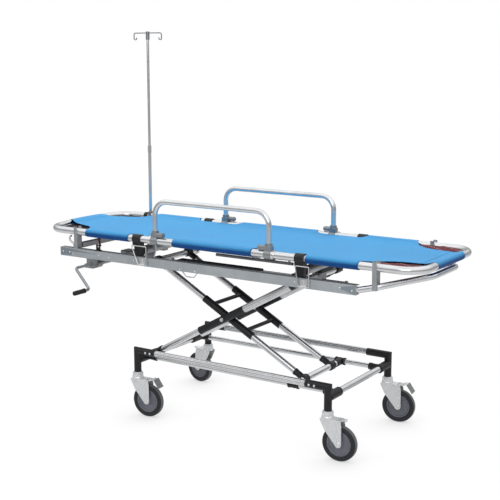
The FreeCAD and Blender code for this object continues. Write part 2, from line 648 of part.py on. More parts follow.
def strap_lug(side):
    """Upright lug with a hole, on top of the channel."""
    lug = fuse(box(-730, -702, side * 263, side * 284, CHAN_Z1, CHAN_Z1 + 3),
               box(-728, -704, side * 270, side * 274, CHAN_Z1, 768))
    return lug.cut(cyl_y(-716, side * 260, side * 290, 758, 4.0))


handle_points = HANDLE_HALF + [(x, -y, z) for x, y, z in reversed(HANDLE_HALF)]
handle_path = rounded_path(handle_points, HANDLE_BENDS)
handle_solid = sweep(handle_path, HANDLE_R)
save("foot_handle", [handle_solid.cut(sweep(handle_path, HANDLE_R - TUBE_WALL))])

frame_rivets = [frame_rivet(x, z, side) for side in SIDES for x, z in FRAME_RIVETS]
clips = [bail_clip(bottom_left + 7, right - 10, side)
         for _, bottom_left, right in BAILS.values() for side in SIDES]
save("frame_rivets_and_loops", frame_rivets + clips + [cable_loop(side) for side in SIDES]
     + [strap_lug(side) for side in SIDES])

mount_holes = [cyl_y(x, side * 280, side * 295, 720.0, 4.0)
               for side in SIDES for x in MOUNT_HOLE_X]
channel_tools = mount_holes + [group(frame_rivets), handle_solid]
save("side_channels", [cut(side_channel(side), *channel_tools) for side in SIDES])

save("support_posts",
     [fuse(support_post(HEAD_POST_X, CHAN_Z1, side), *latch_hinge(side)) for side in SIDES]
     + [support_post(FOOT_POST_X, 728.0, side).cut(handle_solid) for side in SIDES])

crossmembers = [head_crossmember()] + [
    tube_y(x, -CROSS_END_Y, CROSS_END_Y, CROSS_Z, CROSS_R, CROSS_R - TUBE_WALL) for x in CRADLE_X]
save("frame_crossmembers", crossmembers)
save("cradle_blocks", [cradle_block(x, side) for x in CRADLE_X for side in SIDES]
     + [buffer_block()])
save("leg_pivot_tube", [tube_y(-STEM_X, -188.0, 188.0, Z_TOP, BASE_TUBE_R, BASE_TUBE_BORE)]
     + [pivot_bracket(side) for side in SIDES])
save("damper_cylinder", [damper_cylinder()])

# crank drive --------------------------------------------------------------------
GEAR_R, GEAR_INNER_R, GEAR_TEETH = 21.0, 10.0, 16
# tooth section as fractions of its radius: (across, height above the pitch cone)
TOOTH = [(-0.075, -0.13), (0.075, -0.13), (0.045, 0.11 * 0.66), (-0.045, 0.11 * 0.66)]
GRIP_X, GRIP_Z = CRANK_X + 79, CRANK_Z - 89
SHAFT_END_Y = -262.0                  # outer end of the torque tube
ARM_R, ARM_END_Y = 12.5, -200.0       # tubular arms of the gear housing
SCREW_START_X, SCREW_END_X = CRANK_X + 60, 418.0


def tooth_section(radius, angle):
    """Tooth profile where the 45 degree pitch cone has the given radius."""
    points = []
    for across, height in TOOTH:
        rise = height * radius * 0.7071
        radial, tangential = radius + rise, across * radius
        points.append(Vec(-radius + rise,
                          radial * math.cos(angle) - tangential * math.sin(angle),
                          radial * math.sin(angle) + tangential * math.cos(angle)))
    return Part.makePolygon(points + [points[0]])


def bevel_gear():
    """45 degree bevel gear on the X axis, apex at the origin, large end towards -X."""
    body = Part.makeCone(8.0 * 0.868, 20.0 * 0.868, 12.0, Vec(-8, 0, 0), Vec(-1, 0, 0)).fuse(
        cyl_x(-19.5, -GEAR_R - 6, 0, 0, 15.0))
    teeth = []
    for i in range(GEAR_TEETH):
        angle = 2 * math.pi * i / GEAR_TEETH
        sections = [tooth_section(radius, angle) for radius in (GEAR_INNER_R, GEAR_R)]
        teeth.append(Part.makeLoft(sections, True, True))
    return fuse(body, *teeth)


def crank_gear(gear):
    """Gear on the crank shaft, large end towards -Y."""
    gear.rotate(Vec(0, 0, 0), Vec(0, 0, 1), 90)
    gear.translate(Vec(CRANK_X, 0, CRANK_Z))
    return gear.cut(cyl_y(CRANK_X, -60, 5, CRANK_Z, SHAFT_R))


def screw_gear(gear):
    """Gear on the lead screw, turned half a tooth to mesh."""
    gear.rotate(Vec(0, 0, 0), Vec(1, 0, 0), 180.0 / GEAR_TEETH)
    gear.rotate(Vec(0, 0, 0), Vec(0, 0, 1), 180)
    gear.translate(Vec(CRANK_X, 0, CRANK_Z))
    return gear.cut(cyl_x(CRANK_X - 5, SCREW_START_X, 0, CRANK_Z, SHAFT_R))


def crank():
    """Bent handle bar, inner shaft, grip spindle and a collar."""
    path = rounded_path([(CRANK_X, SHAFT_END_Y, CRANK_Z), (CRANK_X, -380, CRANK_Z),
                         (GRIP_X, -380, GRIP_Z), (GRIP_X, -408, GRIP_Z)], [12, 12])
    return fuse(sweep(path, 6.5), cyl_y(CRANK_X, SHAFT_END_Y, -8, CRANK_Z, SHAFT_R),
                cyl_y(GRIP_X, -408, -478, GRIP_Z, 4.5),
                cyl_y(CRANK_X, -312, -296, CRANK_Z, 10.0))


def crank_grip():
    grip = fuse(cyl_y(GRIP_X, -411, -480, GRIP_Z, 10.0),
                cyl_y(GRIP_X, -411, -419, GRIP_Z, 11.2))
    grip = fuse(grip, dome_y(GRIP_X, -476, GRIP_Z, 10.0, -476, -490, 10.0))
    return grip.cut(cyl_y(GRIP_X, -400, -479, GRIP_Z, 4.5 + RUN))


def lead_screw():
    return fuse(cyl_x(CRANK_X + 8, SCREW_START_X, 0, CRANK_Z, SHAFT_R),
                cyl_x(SCREW_START_X, SCREW_END_X, 0, CRANK_Z, SCREW_R),
                cyl_x(SCREW_END_X, SCREW_END_X + 8, 0, CRANK_Z, 12.0))


def channel_foot(side):
    """Block that reaches into the side channel's region."""
    return box(CRANK_X - 19, CRANK_X + 19, side * 250, side * 284, 654, 700)


def gear_housing():
    """Hollow box round the gears, with an arm to each side."""
    x0, x1, y0, y1, z0, z1 = CRANK_X - 27, CRANK_X + 34, -34, 27, 644, 698
    cavity = box(x0 + 3, x1 - 3, y0 + 3, y1 - 3, z0 + 2.5, z1 - 2.5)
    shell = cut(rounded_box(x0, x1, y0, y1, z0, z1, 5), cavity,
                cyl_y(CRANK_X, -60, 0, CRANK_Z, TORQUE_R + RUN),
                cyl_x(CRANK_X, SCREW_START_X, 0, CRANK_Z, SHAFT_R + RUN))
    right_arm = tube_y(CRANK_X, ARM_END_Y, y0 + 1, CRANK_Z, ARM_R, TORQUE_R + RUN)
    left_arm = fuse(tube_y(CRANK_X, y1 - 1, 252, CRANK_Z, ARM_R, TORQUE_R), channel_foot(1))
    return fuse(largest_solid(shell), right_arm, left_arm)


def crank_bearing():
    bearing = fuse(channel_foot(-1), cyl_y(CRANK_X, -250, -214, CRANK_Z, 22.0),
                   cyl_y(CRANK_X, -214, ARM_END_Y, CRANK_Z, 15.0))
    return cut(bearing, cyl_y(CRANK_X, -290, SHAFT_END_Y, CRANK_Z, 6.5 + RUN),
               cyl_y(CRANK_X, SHAFT_END_Y, -190, CRANK_Z, TORQUE_R + RUN))


gear = bevel_gear()
save("crank_torque_shaft", [tube_y(CRANK_X, SHAFT_END_Y, -27.5, CRANK_Z, TORQUE_R, SHAFT_R)])
save("crank_handle", [crank(), crank_gear(gear.copy())])
save("crank_grip", [crank_grip()])
save("lead_screw", [lead_screw(), screw_gear(gear.copy())])
save("gear_housing", [gear_housing()])
save("crank_bearing", [crank_bearing()])


# latches ------------------------------------------------------------------------
def latch_bail(top_left, bottom_left, right, y):
    """Wire loop standing outside the channel."""
    outline = [(bottom_left + 15, BAIL_Z), (bottom_left, BAIL_Z), (top_left, BAIL_TOP),
               (right, BAIL_TOP), (right, BAIL_Z), (right - 18, BAIL_Z)]
    return sweep(rounded_path([(x, y, z) for x, z in outline], [4, 5, 5, 4]), BAIL_R)


def head_latch(y):
    """Bent bar with a barrel on the latch hinge pin."""
    path = rounded_path([(LATCH_X - 3.2, y, 754.6), (-912, y, 786), (-876, y, 794)], [14])
    hook = sweep(path, 4.6).fuse(cyl_y(LATCH_X, y - 6, y + 6, LATCH_Z, 5.8))
    return hook.cut(cyl_y(LATCH_X, y - 12, y + 12, LATCH_Z, LATCH_PIN_R + RUN))


for side, side_name in ((-1, "right"), (1, "left")):
    for end_name, bail in BAILS.items():
        save("latch_bail_%s_%s" % (side_name, end_name), [latch_bail(*bail, side * BAIL_Y)])
    save("head_latch_" + side_name, [head_latch(side * BED_Y)])

# stretcher frame ----------------------------------------------------------------
FOOT_BEND_R = 90.0
FOOT_BEND_X = BED_FOOT_X - FOOT_BEND_R
HEAD_BEND_R = 95.0
HEAD_TURN = math.radians(77.4)        # turn of each head corner
# the head corners end at (BOW_END_X, +-BOW_END_Y), where the bowed head end begins
BOW_END_X = -1020.0
BOW_END_Y = BED_Y - HEAD_BEND_R * (1 - math.cos(HEAD_TURN))
HEAD_BEND_X = BOW_END_X + HEAD_BEND_R * math.sin(HEAD_TURN)
BOW_HALF = math.pi / 2 - HEAD_TURN
BOW_R = BOW_END_Y / math.sin(BOW_HALF)
BOW_CENTRE_X = BOW_END_X - BOW_R * (1 - math.cos(BOW_HALF)) + BOW_R


def bent_bar(centre_x, centre_y, bend_r, start, turn, radius):
    """Bar bent in the stretcher plane; start and turn in degrees."""
    angle = math.radians(start)
    origin = Vec(centre_x + bend_r * math.cos(angle), centre_y + bend_r * math.sin(angle), BED_Z)
    tangent = Vec(-math.sin(angle), math.cos(angle), 0)
    section = Part.Face(Part.Wire([Part.makeCircle(radius, origin, tangent)]))
    return section.revolve(Vec(centre_x, centre_y, BED_Z), Vec(0, 0, 1), turn)


def frame_loop(radius):
    """Closed solid loop: straight sides, rounded corners, bowed head end."""
    turn, bow = math.degrees(HEAD_TURN), math.degrees(BOW_HALF)
    foot_y, head_y = BED_Y - FOOT_BEND_R, BED_Y - HEAD_BEND_R
    bars = [cyl_x(HEAD_BEND_X, FOOT_BEND_X, side * BED_Y, BED_Z, radius) for side in SIDES]
    bars += [
        cyl_y(BED_FOOT_X, -foot_y, foot_y, BED_Z, radius),
        bent_bar(FOOT_BEND_X, foot_y, FOOT_BEND_R, 0, 90, radius),
        bent_bar(FOOT_BEND_X, -foot_y, FOOT_BEND_R, 270, 90, radius),
        bent_bar(HEAD_BEND_X, head_y, HEAD_BEND_R, 90, turn, radius),
        bent_bar(HEAD_BEND_X, -head_y, HEAD_BEND_R, 270 - turn, turn, radius),
        bent_bar(BOW_CENTRE_X, 0, BOW_R, 180 - bow, 2 * bow, radius),
    ]
    return bars[0].fuse(bars[1:]).removeSplitter().Solids[0]


bed_solid = frame_loop(BED_R)
save("stretcher_frame", [bed_solid.cut(frame_loop(BED_R - TUBE_WALL))])

# stretcher sheet ----------------------------------------------------------------
SHEET_Z0, SHEET_Z1 = BED_Z + BED_R + 0.2, BED_Z + BED_R + 2.6
HEMS = [(-776.0, -526.0), (-280.0, 128.0), (386.0, 623.0)]   # X ranges round the side tubes
# left half of the sheet outline from foot to head: (x, y)
SHEET_HALF = [
    (895.0, 128), (880, 135), (812, 148), (750, 155), (692, 180), (646, 222), (623, 268),
    (623, 275), (386, 275), (386, 249), (128, 249), (128, 275), (-280, 275), (-280, 249),
    (-526, 249), (-526, 275), (-776, 275), (-778, 266), (-799, 240), (-837, 183), (-867, 166),
    (-925, 148), (-994, 120), (-1052, 103),
]


def stretcher_sheet():
    """Flat top panel with hems round the side tubes and both end tubes."""
    outline = SHEET_HALF + [(x, -y) for x, y in reversed(SHEET_HALF)]
    panel = face([Vec(x, y, SHEET_Z0) for x, y in outline]).extrude(
        Vec(0, 0, SHEET_Z1 - SHEET_Z0))
    outer, inner = frame_loop(BED_R + 3.0), frame_loop(BED_R + 0.5)
    low, high = BED_Z - 30, BED_Z + 30
    zones = [box(x0, x1, side * (BED_Y - 25), side * (BED_Y + 25), low, high)
             for side in SIDES for x0, x1 in HEMS]
    zones.append(box(BED_FOOT_X - 22, BED_FOOT_X + 30, -128, 128, low, high))
    zones.append(box(-1075, -1012, -108, 108, low, high))
    hems = [outer.common(zone).cut(inner) for zone in zones]
    panel = panel.common(box(-1040, BED_FOOT_X, -BED_Y, BED_Y, SHEET_Z0 - 1, SHEET_Z1 + 1))
    return fuse(panel, *hems)


undersheet = box(-992, 852, -236, 236, BED_Z - 3, BED_Z)
save("stretcher_sheet", [stretcher_sheet()])
save("stretcher_undersheet", [undersheet.makeFillet(70.0, upright_edges(undersheet, 2))])

# stretcher fittings ---------------------------------------------------------------
RAIL_X0, RAIL_X1, RAIL_TOP, RAIL_R = -381.0, 207.0, 994.0, 11.5   # swinging side rails
RAIL_BOTTOM = BED_Z + 24
RAIL_ENDS = ((RAIL_X0, -1), (RAIL_X1, 1))     # X and the direction away from the rail
UNDER_RAIL_Z = 789.0
LOCK_Z = BED_Z + 27.5


def stretcher_foot(x, side):
    """Ring on the stretcher tube with a block below and a stub for the cradle pocket."""
    y = side * BED_Y
    ring = cyl_x(x - 21, x + 21, y, BED_Z, 20.5)
    outline = [(x - 21, BED_Z), (x + 21, BED_Z), (x + 21, 800), (x + 20, 786.3),
               (x - 20, 786.3), (x - 21, 800)]
    stub = box(x - 15.0, x + 15.0, side * 261.0, side * 276.0, 780.2, 787)
    foot = fuse(ring, plate(outline, y - 16, 16), plate(outline, y, 16), stub)
    return foot.cut(cyl_x(x - 40, x + 40, y, BED_Z, BED_R))


def under_rail(side):
    """Bar below the stretcher tube on two short posts."""
    y = side * (BED_Y - 8)
    rail = cyl_x(-60, 318, y, UNDER_RAIL_Z, 6.5)
    for x in (140.0, 300.0):
        rail = rail.fuse(cyl_z(x, y, UNDER_RAIL_Z, BED_Z - 10, 5.0))
    return rail.removeSplitter().cut(bed_solid)


def pole_socket():
    """Clamp on the stretcher tube that holds the drip pole."""
    clamp = fuse(cyl_x(POLE_X - 10, POLE_X + 10, BED_Y, BED_Z, 19.5),
                 cyl_z(POLE_X, POLE_Y, 792, 836, 12.0),
                 box(POLE_X - 9, POLE_X + 9, BED_Y, POLE_Y, 806, 830))
    return cut(clamp, bed_solid, cyl_z(POLE_X, POLE_Y, 796, 840, POLE_OUT_R + RUN))


def rail_collar(x, y, rail):
    """Collar on the stretcher tube with a socket for a rail end."""
    collar = fuse(cyl_x(x - 16.5, x + 16.5, y, BED_Z, 21.0),
                  cyl_z(x, y, BED_Z + 10, BED_Z + 46, 15.5),
                  rounded_box(x - 16, x + 16, y - 15, y + 15, BED_Z + 12, BED_Z + 36, 3))
    return cut(collar, cyl_x(x - 20, x + 20, y, BED_Z, BED_R + RUN), rail)


def rail_lock(x, y, inward):
    """Spring lock body beside the rail end, with its pull knob."""
    return fuse(cyl_x(x + inward * 14, x + inward * 47, y, LOCK_Z, 10.8),
                cyl_x(x + inward * 47, x + inward * 51, y, LOCK_Z, 8.0))


save("stretcher_feet", [stretcher_foot(x, side) for x in CRADLE_X for side in SIDES])
stop_rings = [tube_x(x + away * 17.5, x + away * 29, side * BED_Y, BED_Z, 20.0, BED_R)
              for side in SIDES for x, away in RAIL_ENDS]
save("stretcher_rings_and_under_rails", stop_rings + [under_rail(side) for side in SIDES])
save("iv_pole_socket", [pole_socket()])

for side, side_name in ((-1, "right"), (1, "left")):
    y = side * BED_Y
    rail_path = rounded_path([(RAIL_X0, y, RAIL_BOTTOM), (RAIL_X0, y, RAIL_TOP),
                              (RAIL_X1, y, RAIL_TOP), (RAIL_X1, y, RAIL_BOTTOM)], [62, 62])
    rail_solid = sweep(rail_path, RAIL_R)
    save("side_rail_" + side_name, [rail_solid.cut(sweep(rail_path, RAIL_R - 1.6))])
    locks = [rail_lock(x, y + side * 4.0, -away) for x, away in RAIL_ENDS]
    lock_tool = group(locks)
    collars = [rail_collar(x, y, rail_solid).cut(lock_tool) for x, _ in RAIL_ENDS]
    save("rail_collars_" + side_name, collars + locks)

# drip pole ----------------------------------------------------------------------
POLE_JOINT_Z = 1160.0                 # top of the lower tube
POLE_TOP = 1722.0
COLLAR_R, COLLAR_TOP = 9.2, 1172.0


def lower_pole():
    """Lower tube with a collar at its top."""
    bore = POLE_IN_R + RUN
    pole = tube_z(POLE_X, POLE_Y, 796.3, POLE_JOINT_Z, POLE_OUT_R, bore)
    collar = tube_z(POLE_X, POLE_Y, 1138, COLLAR_TOP, COLLAR_R, POLE_OUT_R).fuse(
        tube_z(POLE_X, POLE_Y, POLE_JOINT_Z, COLLAR_TOP, COLLAR_R, bore))
    return fuse(pole, collar)


def pole_hook(direction):
    """Arm along X whose end turns down, back and up."""
    tip_x, back_x = POLE_X + direction * 86, POLE_X + direction * 70
    outline = [(POLE_X, POLE_TOP + 5), (tip_x, POLE_TOP + 5), (tip_x, POLE_TOP - 28),
               (back_x, POLE_TOP - 28), (back_x, POLE_TOP - 17)]
    return sweep(rounded_path([(x, POLE_Y, z) for x, z in outline], [9, 7.5, 7.5]), 2.8)


def hook_head():
    cap = fuse(cyl_z(POLE_X, POLE_Y, 1694, POLE_TOP + 12, 9.5)).cut(
        cyl_z(POLE_X, POLE_Y, 1690, POLE_TOP, POLE_IN_R))
    return fuse(cap, pole_hook(-1), pole_hook(1))


save("iv_pole_lower", [lower_pole()])
save("iv_pole_upper", [tube_z(POLE_X, POLE_Y, 1105, POLE_TOP, POLE_IN_R, 4.8), hook_head()])
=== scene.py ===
"""Looks and studio for a wheeled folding stretcher.

The blue sheet, the maroon sheet under it, their sewing and the ribs of the crank grip are
built as new meshes. The head end is towards -X, the foot end towards +X, the right side is
-Y and Z is up. Lengths are drawing millimetres, turned into row-frame metres by place(),
except where a comment says metres. Sizes inside materials, lights and modifiers are
metres.
"""
import json
import math
import bpy
import bmesh
import numpy as np
from mathutils import Matrix, Vector, noise


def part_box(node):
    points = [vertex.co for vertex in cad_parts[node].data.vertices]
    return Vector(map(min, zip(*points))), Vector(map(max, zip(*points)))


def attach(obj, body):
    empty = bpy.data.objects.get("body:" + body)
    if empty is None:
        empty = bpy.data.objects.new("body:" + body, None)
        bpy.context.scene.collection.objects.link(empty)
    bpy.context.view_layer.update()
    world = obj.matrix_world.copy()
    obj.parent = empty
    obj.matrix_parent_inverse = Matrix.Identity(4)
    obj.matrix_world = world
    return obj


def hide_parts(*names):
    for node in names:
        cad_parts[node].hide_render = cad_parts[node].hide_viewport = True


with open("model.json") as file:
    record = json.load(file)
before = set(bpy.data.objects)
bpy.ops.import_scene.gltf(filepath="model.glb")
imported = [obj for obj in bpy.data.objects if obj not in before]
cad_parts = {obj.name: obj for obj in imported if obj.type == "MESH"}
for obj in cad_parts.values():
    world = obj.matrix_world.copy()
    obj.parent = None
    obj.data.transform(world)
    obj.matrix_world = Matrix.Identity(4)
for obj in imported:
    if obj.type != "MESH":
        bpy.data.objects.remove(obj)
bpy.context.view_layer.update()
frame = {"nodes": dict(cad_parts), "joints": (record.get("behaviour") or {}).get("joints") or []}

scene = bpy.context.scene
nodes = frame["nodes"]

# Drawing origin inside the row frame, in metres: the stretcher frame ends at x = 893 mm.
FRAME_LO, FRAME_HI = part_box("stretcher_frame")
ORIGIN_X = FRAME_HI.x - 0.893
ORIGIN_Y = (FRAME_LO.y + FRAME_HI.y) / 2

SIDES = ((-1, "right"), (1, "left"))

# Diagonal folds of the maroon sheet, shared by its mesh and the painted highlights on their
# ridges.
FOLD_SLOPE = 0.62
FOLD_PITCH = 62.0


def place(x, y, z):
    """Drawing millimetres to row-frame metres."""
    return Vector((x / 1000 + ORIGIN_X, y / 1000 + ORIGIN_Y, z / 1000))


# ---------------------------------------------------------------- node graphs
def rgba(color):
    """Opaque colour from a grey value or an RGB triple."""
    return (*color, 1) if isinstance(color, tuple) else (color, color, color, 1)


def shade(color, gain):
    return tuple(min(1, v * gain) for v in color)


class Graph:
    """Node tree whose helpers take values or output sockets and return output sockets."""

    def __init__(self, tree):
        self.tree = tree
        tree.nodes.clear()

    def feed(self, socket, value):
        if isinstance(value, bpy.types.NodeSocket):
            self.tree.links.new(value, socket)
        else:
            socket.default_value = value

    def node(self, kind, inputs=None, **props):
        node = self.tree.nodes.new(kind)
        for key, value in props.items():
            setattr(node, key, value)
        for key, value in (inputs or {}).items():
            self.feed(node.inputs[key], value)
        return node

    def ramp(self, source, *stops):
        """Each stop is a position and a grey value or RGB triple."""
        node = self.node("ShaderNodeValToRGB")
        elements = node.color_ramp.elements
        while len(elements) < len(stops):
            elements.new(0.5)
        for element, (position, color) in zip(elements, stops):
            element.position = position
            element.color = rgba(color)
        self.feed(node.inputs["Fac"], source)
        return node.outputs["Color"]

    def math(self, operation, *values):
        return self.node("ShaderNodeMath", dict(enumerate(values)), operation=operation).outputs[0]

    def mix(self, factor, base, over, blend="MIX"):
        base, over = (c if isinstance(c, bpy.types.NodeSocket) else rgba(c) for c in (base, over))
        return self.node("ShaderNodeMix", {0: factor, 6: base, 7: over},
                         data_type="RGBA", blend_type=blend).outputs[2]


class Mat(Graph):
    """Node material around one Principled shader."""

    def __init__(self, name):
        self.material = bpy.data.materials.new(name)
        self.material.use_nodes = True
        super().__init__(self.material.node_tree)
        self.output = self.node("ShaderNodeOutputMaterial")
        self.shader = self.node("ShaderNodeBsdfPrincipled")
        self.feed(self.output.inputs["Surface"], self.shader.outputs["BSDF"])
        self.position = self.node("ShaderNodeTexCoord").outputs["Object"]
        self.last_bump = None

    def set(self, **inputs):
        """Sets shader inputs; underscores in the names stand for spaces."""
        for key, value in inputs.items():
            self.feed(self.shader.inputs[key.replace("_", " ")], value)

    def mapping(self, stretch=(1, 1, 1), turn=(0, 0, 0)):
        return self.node("ShaderNodeMapping", {"Scale": stretch, "Rotation": turn,
                                               "Vector": self.position}).outputs["Vector"]

    def noise(self, scale, detail=4, rough=0.5, stretch=(1, 1, 1), turn=(0, 0, 0)):
        return self.node("ShaderNodeTexNoise", {
            "Vector": self.mapping(stretch, turn), "Scale": scale,
            "Detail": detail, "Roughness": rough}).outputs["Fac"]

    def bump(self, height, strength, distance):
        """Adds a bump on top of those made before it."""
        bump = self.node("ShaderNodeBump", {"Strength": strength, "Distance": distance,
                                            "Height": height})
        if self.last_bump:
            self.feed(bump.inputs["Normal"], self.last_bump.outputs["Normal"])
        self.last_bump = bump
        self.set(Normal=bump.outputs["Normal"])

    def worn_edge(self, radius, gain, limit):
        """0 on flat areas, rising to the limit on edges."""
        bevel = self.node("ShaderNodeBevel", {"Radius": radius}, samples=4)
        surface = self.node("ShaderNodeNewGeometry")
        facing = self.node("ShaderNodeVectorMath", {
            0: bevel.outputs["Normal"], 1: surface.outputs["Normal"]}, operation="DOT_PRODUCT")
        edge = self.math("SUBTRACT", 1.0, facing.outputs["Value"])
        return self.math("MINIMUM", self.math("MULTIPLY", edge, gain), limit)

    def normal_z(self):
        surface = self.node("ShaderNodeNewGeometry")
        return self.node("ShaderNodeSeparateXYZ",
                         {"Vector": surface.outputs["Normal"]}).outputs["Z"]

    def axle_distance(self, centre, axis):
        """Distance in metres from the line through centre along axis."""
        offset = self.node("ShaderNodeVectorMath", {0: self.position, 1: centre},
                           operation="SUBTRACT")
        across = self.node("ShaderNodeVectorMath", {0: offset.outputs["Vector"], 1: axis},
                           operation="CROSS_PRODUCT")
        return self.node("ShaderNodeVectorMath", {0: across.outputs["Vector"]},
                         operation="LENGTH").outputs["Value"]


# ------------------------------------------------------------------ materials
# dark and light bound the cloudy base colour; rough is the range of roughness.
def metal(name, dark, light, rough, brush=(4, 300, 300), metallic=1.0, scratches=0.35,
          worn_edges=True, spangle=None):
    """Brushed metal; brush stretches its grain, spangle is the scale of zinc crystals."""
    mat = Mat(name)
    mat.set(Metallic=metallic)
    color = mat.ramp(mat.noise(scale=9, detail=5, rough=0.6), (0.3, dark), (0.7, light))
    if spangle:
        cells = mat.node("ShaderNodeTexVoronoi", {"Vector": mat.mapping(), "Scale": spangle},
                         feature="F1")
        split = mat.node("ShaderNodeSeparateColor", {"Color": cells.outputs["Color"]})
        tone = mat.ramp(split.outputs["Red"], (0.0, 0.92), (1.0, 1.0))
        color = mat.mix(1.0, color, tone, blend="MULTIPLY")
    grain = mat.noise(scale=1.0, detail=3, rough=0.7, stretch=brush)
    finish = mat.ramp(grain, (0.3, rough[0]), (0.7, rough[1]))
    # sparse long scratches and handling marks
    marks = mat.noise(scale=2.0, detail=2, rough=0.9, stretch=(6, 160, 60), turn=(0.35, 0.5, 0.2))
    marks = mat.ramp(marks, (0.66, 0.0), (0.69, 1.0))
    dirt = mat.ramp(mat.noise(scale=26, detail=6, rough=0.72), (0.52, 0.0), (0.72, 1.0))
    finish = mat.mix(mat.math("MULTIPLY", dirt, 0.4), finish, rough[1] + 0.2)
    finish = mat.mix(mat.math("MULTIPLY", marks, scratches), finish, rough[1] + 0.25)
    color = mat.mix(mat.math("MULTIPLY", dirt, 0.10), color, shade(dark, 0.55))
    if worn_edges:
        wear = mat.worn_edge(radius=0.0012, gain=3.0, limit=0.6)
        color = mat.mix(wear, color, shade(light, 1.25))
    mat.set(Base_Color=color, Roughness=finish)
    mat.bump(grain, strength=0.10, distance=0.0002)
    mat.bump(marks, strength=0.08 * scratches / 0.35, distance=0.0002)
    return mat.material


def plastic(name, dark, light, rough=(0.34, 0.5), grain=900, coat=0.0):
    """Fine-grained plastic, dusty where it faces up; grain is the scale of its texture."""
    mat = Mat(name)
    color = mat.ramp(mat.noise(scale=14, detail=5, rough=0.6), (0.3, dark), (0.7, light))
    texture = mat.noise(scale=grain, detail=2, rough=0.5)
    smear = mat.noise(scale=24, detail=6, rough=0.7, stretch=(1, 1, 2.4))
    finish = mat.ramp(smear, (0.3, rough[0]), (0.7, rough[1]))
    dust = mat.ramp(smear, (0.56, 0.0), (0.8, 1.0))
    upward = mat.ramp(mat.normal_z(), (0.35, 0.0), (1.0, 1.0))
    dust = mat.math("MULTIPLY", mat.math("MULTIPLY", dust, upward), 0.12)
    color = mat.mix(dust, color, (0.16, 0.155, 0.15))
    wear = mat.worn_edge(radius=0.0015, gain=1.6, limit=0.5)
    color = mat.mix(wear, color, (0.12, 0.12, 0.125))
    mat.set(Base_Color=color, Roughness=finish, Coat_Weight=coat, Coat_Roughness=0.25, IOR=1.42)
    mat.bump(texture, strength=0.12, distance=0.0002)
    mat.bump(smear, strength=0.05, distance=0.0006)
    return mat.material


def tyre_rubber(tag, centre, axis):
    """Dark rubber whose running surface is worn lighter than the side walls."""
    mat = Mat("tyre_rubber_" + tag)
    grime = mat.noise(scale=38, detail=7, rough=0.7)
    fine = mat.noise(scale=700, detail=2, rough=0.5)
    color = mat.ramp(grime, (0.3, (0.009, 0.010, 0.012)), (0.7, (0.018, 0.019, 0.022)))
    # the tread starts between 72.5 and 74.2 mm from the axle
    tread = mat.ramp(mat.math("MULTIPLY", mat.axle_distance(centre, axis), 10.0),
                     (0.725, 0.0), (0.742, 1.0))
    mat.set(Base_Color=mat.mix(tread, color, (0.135, 0.14, 0.148)),
            Roughness=mat.ramp(grime, (0.2, 0.48), (0.8, 0.72)))
    mat.bump(fine, strength=0.2, distance=0.0003)
    mat.bump(grime, strength=0.12, distance=0.0008)
    return mat.material


def wheel_core(tag, centre, axis):
    """Moulded grey core with turned rings about the axle."""
    mat = Mat("wheel_core_" + tag)
    rings = mat.math("SINE", mat.math("MULTIPLY", mat.axle_distance(centre, axis), 3200.0))
    smear = mat.noise(scale=30, detail=5, rough=0.65)
    mat.set(Base_Color=mat.ramp(smear, (0.3, (0.115, 0.119, 0.142)), (0.7, (0.165, 0.170, 0.200))),
            Roughness=mat.ramp(smear, (0.3, 0.38), (0.7, 0.56)))
    mat.bump(rings, strength=0.12, distance=0.0002)
    mat.bump(mat.noise(scale=900, detail=2, rough=0.5), strength=0.1, distance=0.0002)
    return mat.material


def cloth(name, dark, light, side, thread, rough=(0.5, 0.7), painted_shade_range=(0.0, 0.75)):
    """Woven cloth; side is painted shade, the colour given to the faces whose normal Z is low
    within the range given, standing in for the shade on faces turned sideways from the light.
    """
    mat = Mat(name)
    weave = mat.math("MULTIPLY", *[
        mat.node("ShaderNodeTexWave", {
            "Scale": thread / 6.2832 * 2, "Distortion": 0.4, "Detail": 1,
            "Vector": mat.mapping()}, wave_type="BANDS", bands_direction=axis).outputs["Fac"]
        for axis in "XY"])
    mottle = mat.noise(scale=7, detail=6, rough=0.62)
    fine = mat.noise(scale=420, detail=2, rough=0.6)
    color = mat.ramp(mottle, (0.3, dark), (0.72, light))
    color = mat.mix(mat.math("MULTIPLY", weave, 0.16), color, shade(dark, 0.72))
    color = mat.mix(mat.math("MULTIPLY", fine, 0.10), color, shade(light, 1.15))
    # painted shade: steep faces take the side colour
    side_shade = mat.ramp(mat.normal_z(), (painted_shade_range[0], 1.0), (painted_shade_range[1], 0.0))
    color = mat.mix(side_shade, color, side)
    dirt = mat.ramp(mat.noise(scale=16, detail=7, rough=0.75), (0.58, 0.0), (0.8, 1.0))
    color = mat.mix(mat.math("MULTIPLY", dirt, 0.10), color, shade(dark, 0.6))
    mat.set(Base_Color=color, Roughness=mat.ramp(mottle, (0.3, rough[0]), (0.7, rough[1])),
            Sheen_Weight=0.04, Sheen_Roughness=0.4, Specular_IOR_Level=0.14)
    mat.bump(weave, strength=0.22, distance=0.00035)
    mat.bump(mat.noise(scale=60, detail=4, rough=0.6), strength=0.10, distance=0.0012)
    return mat


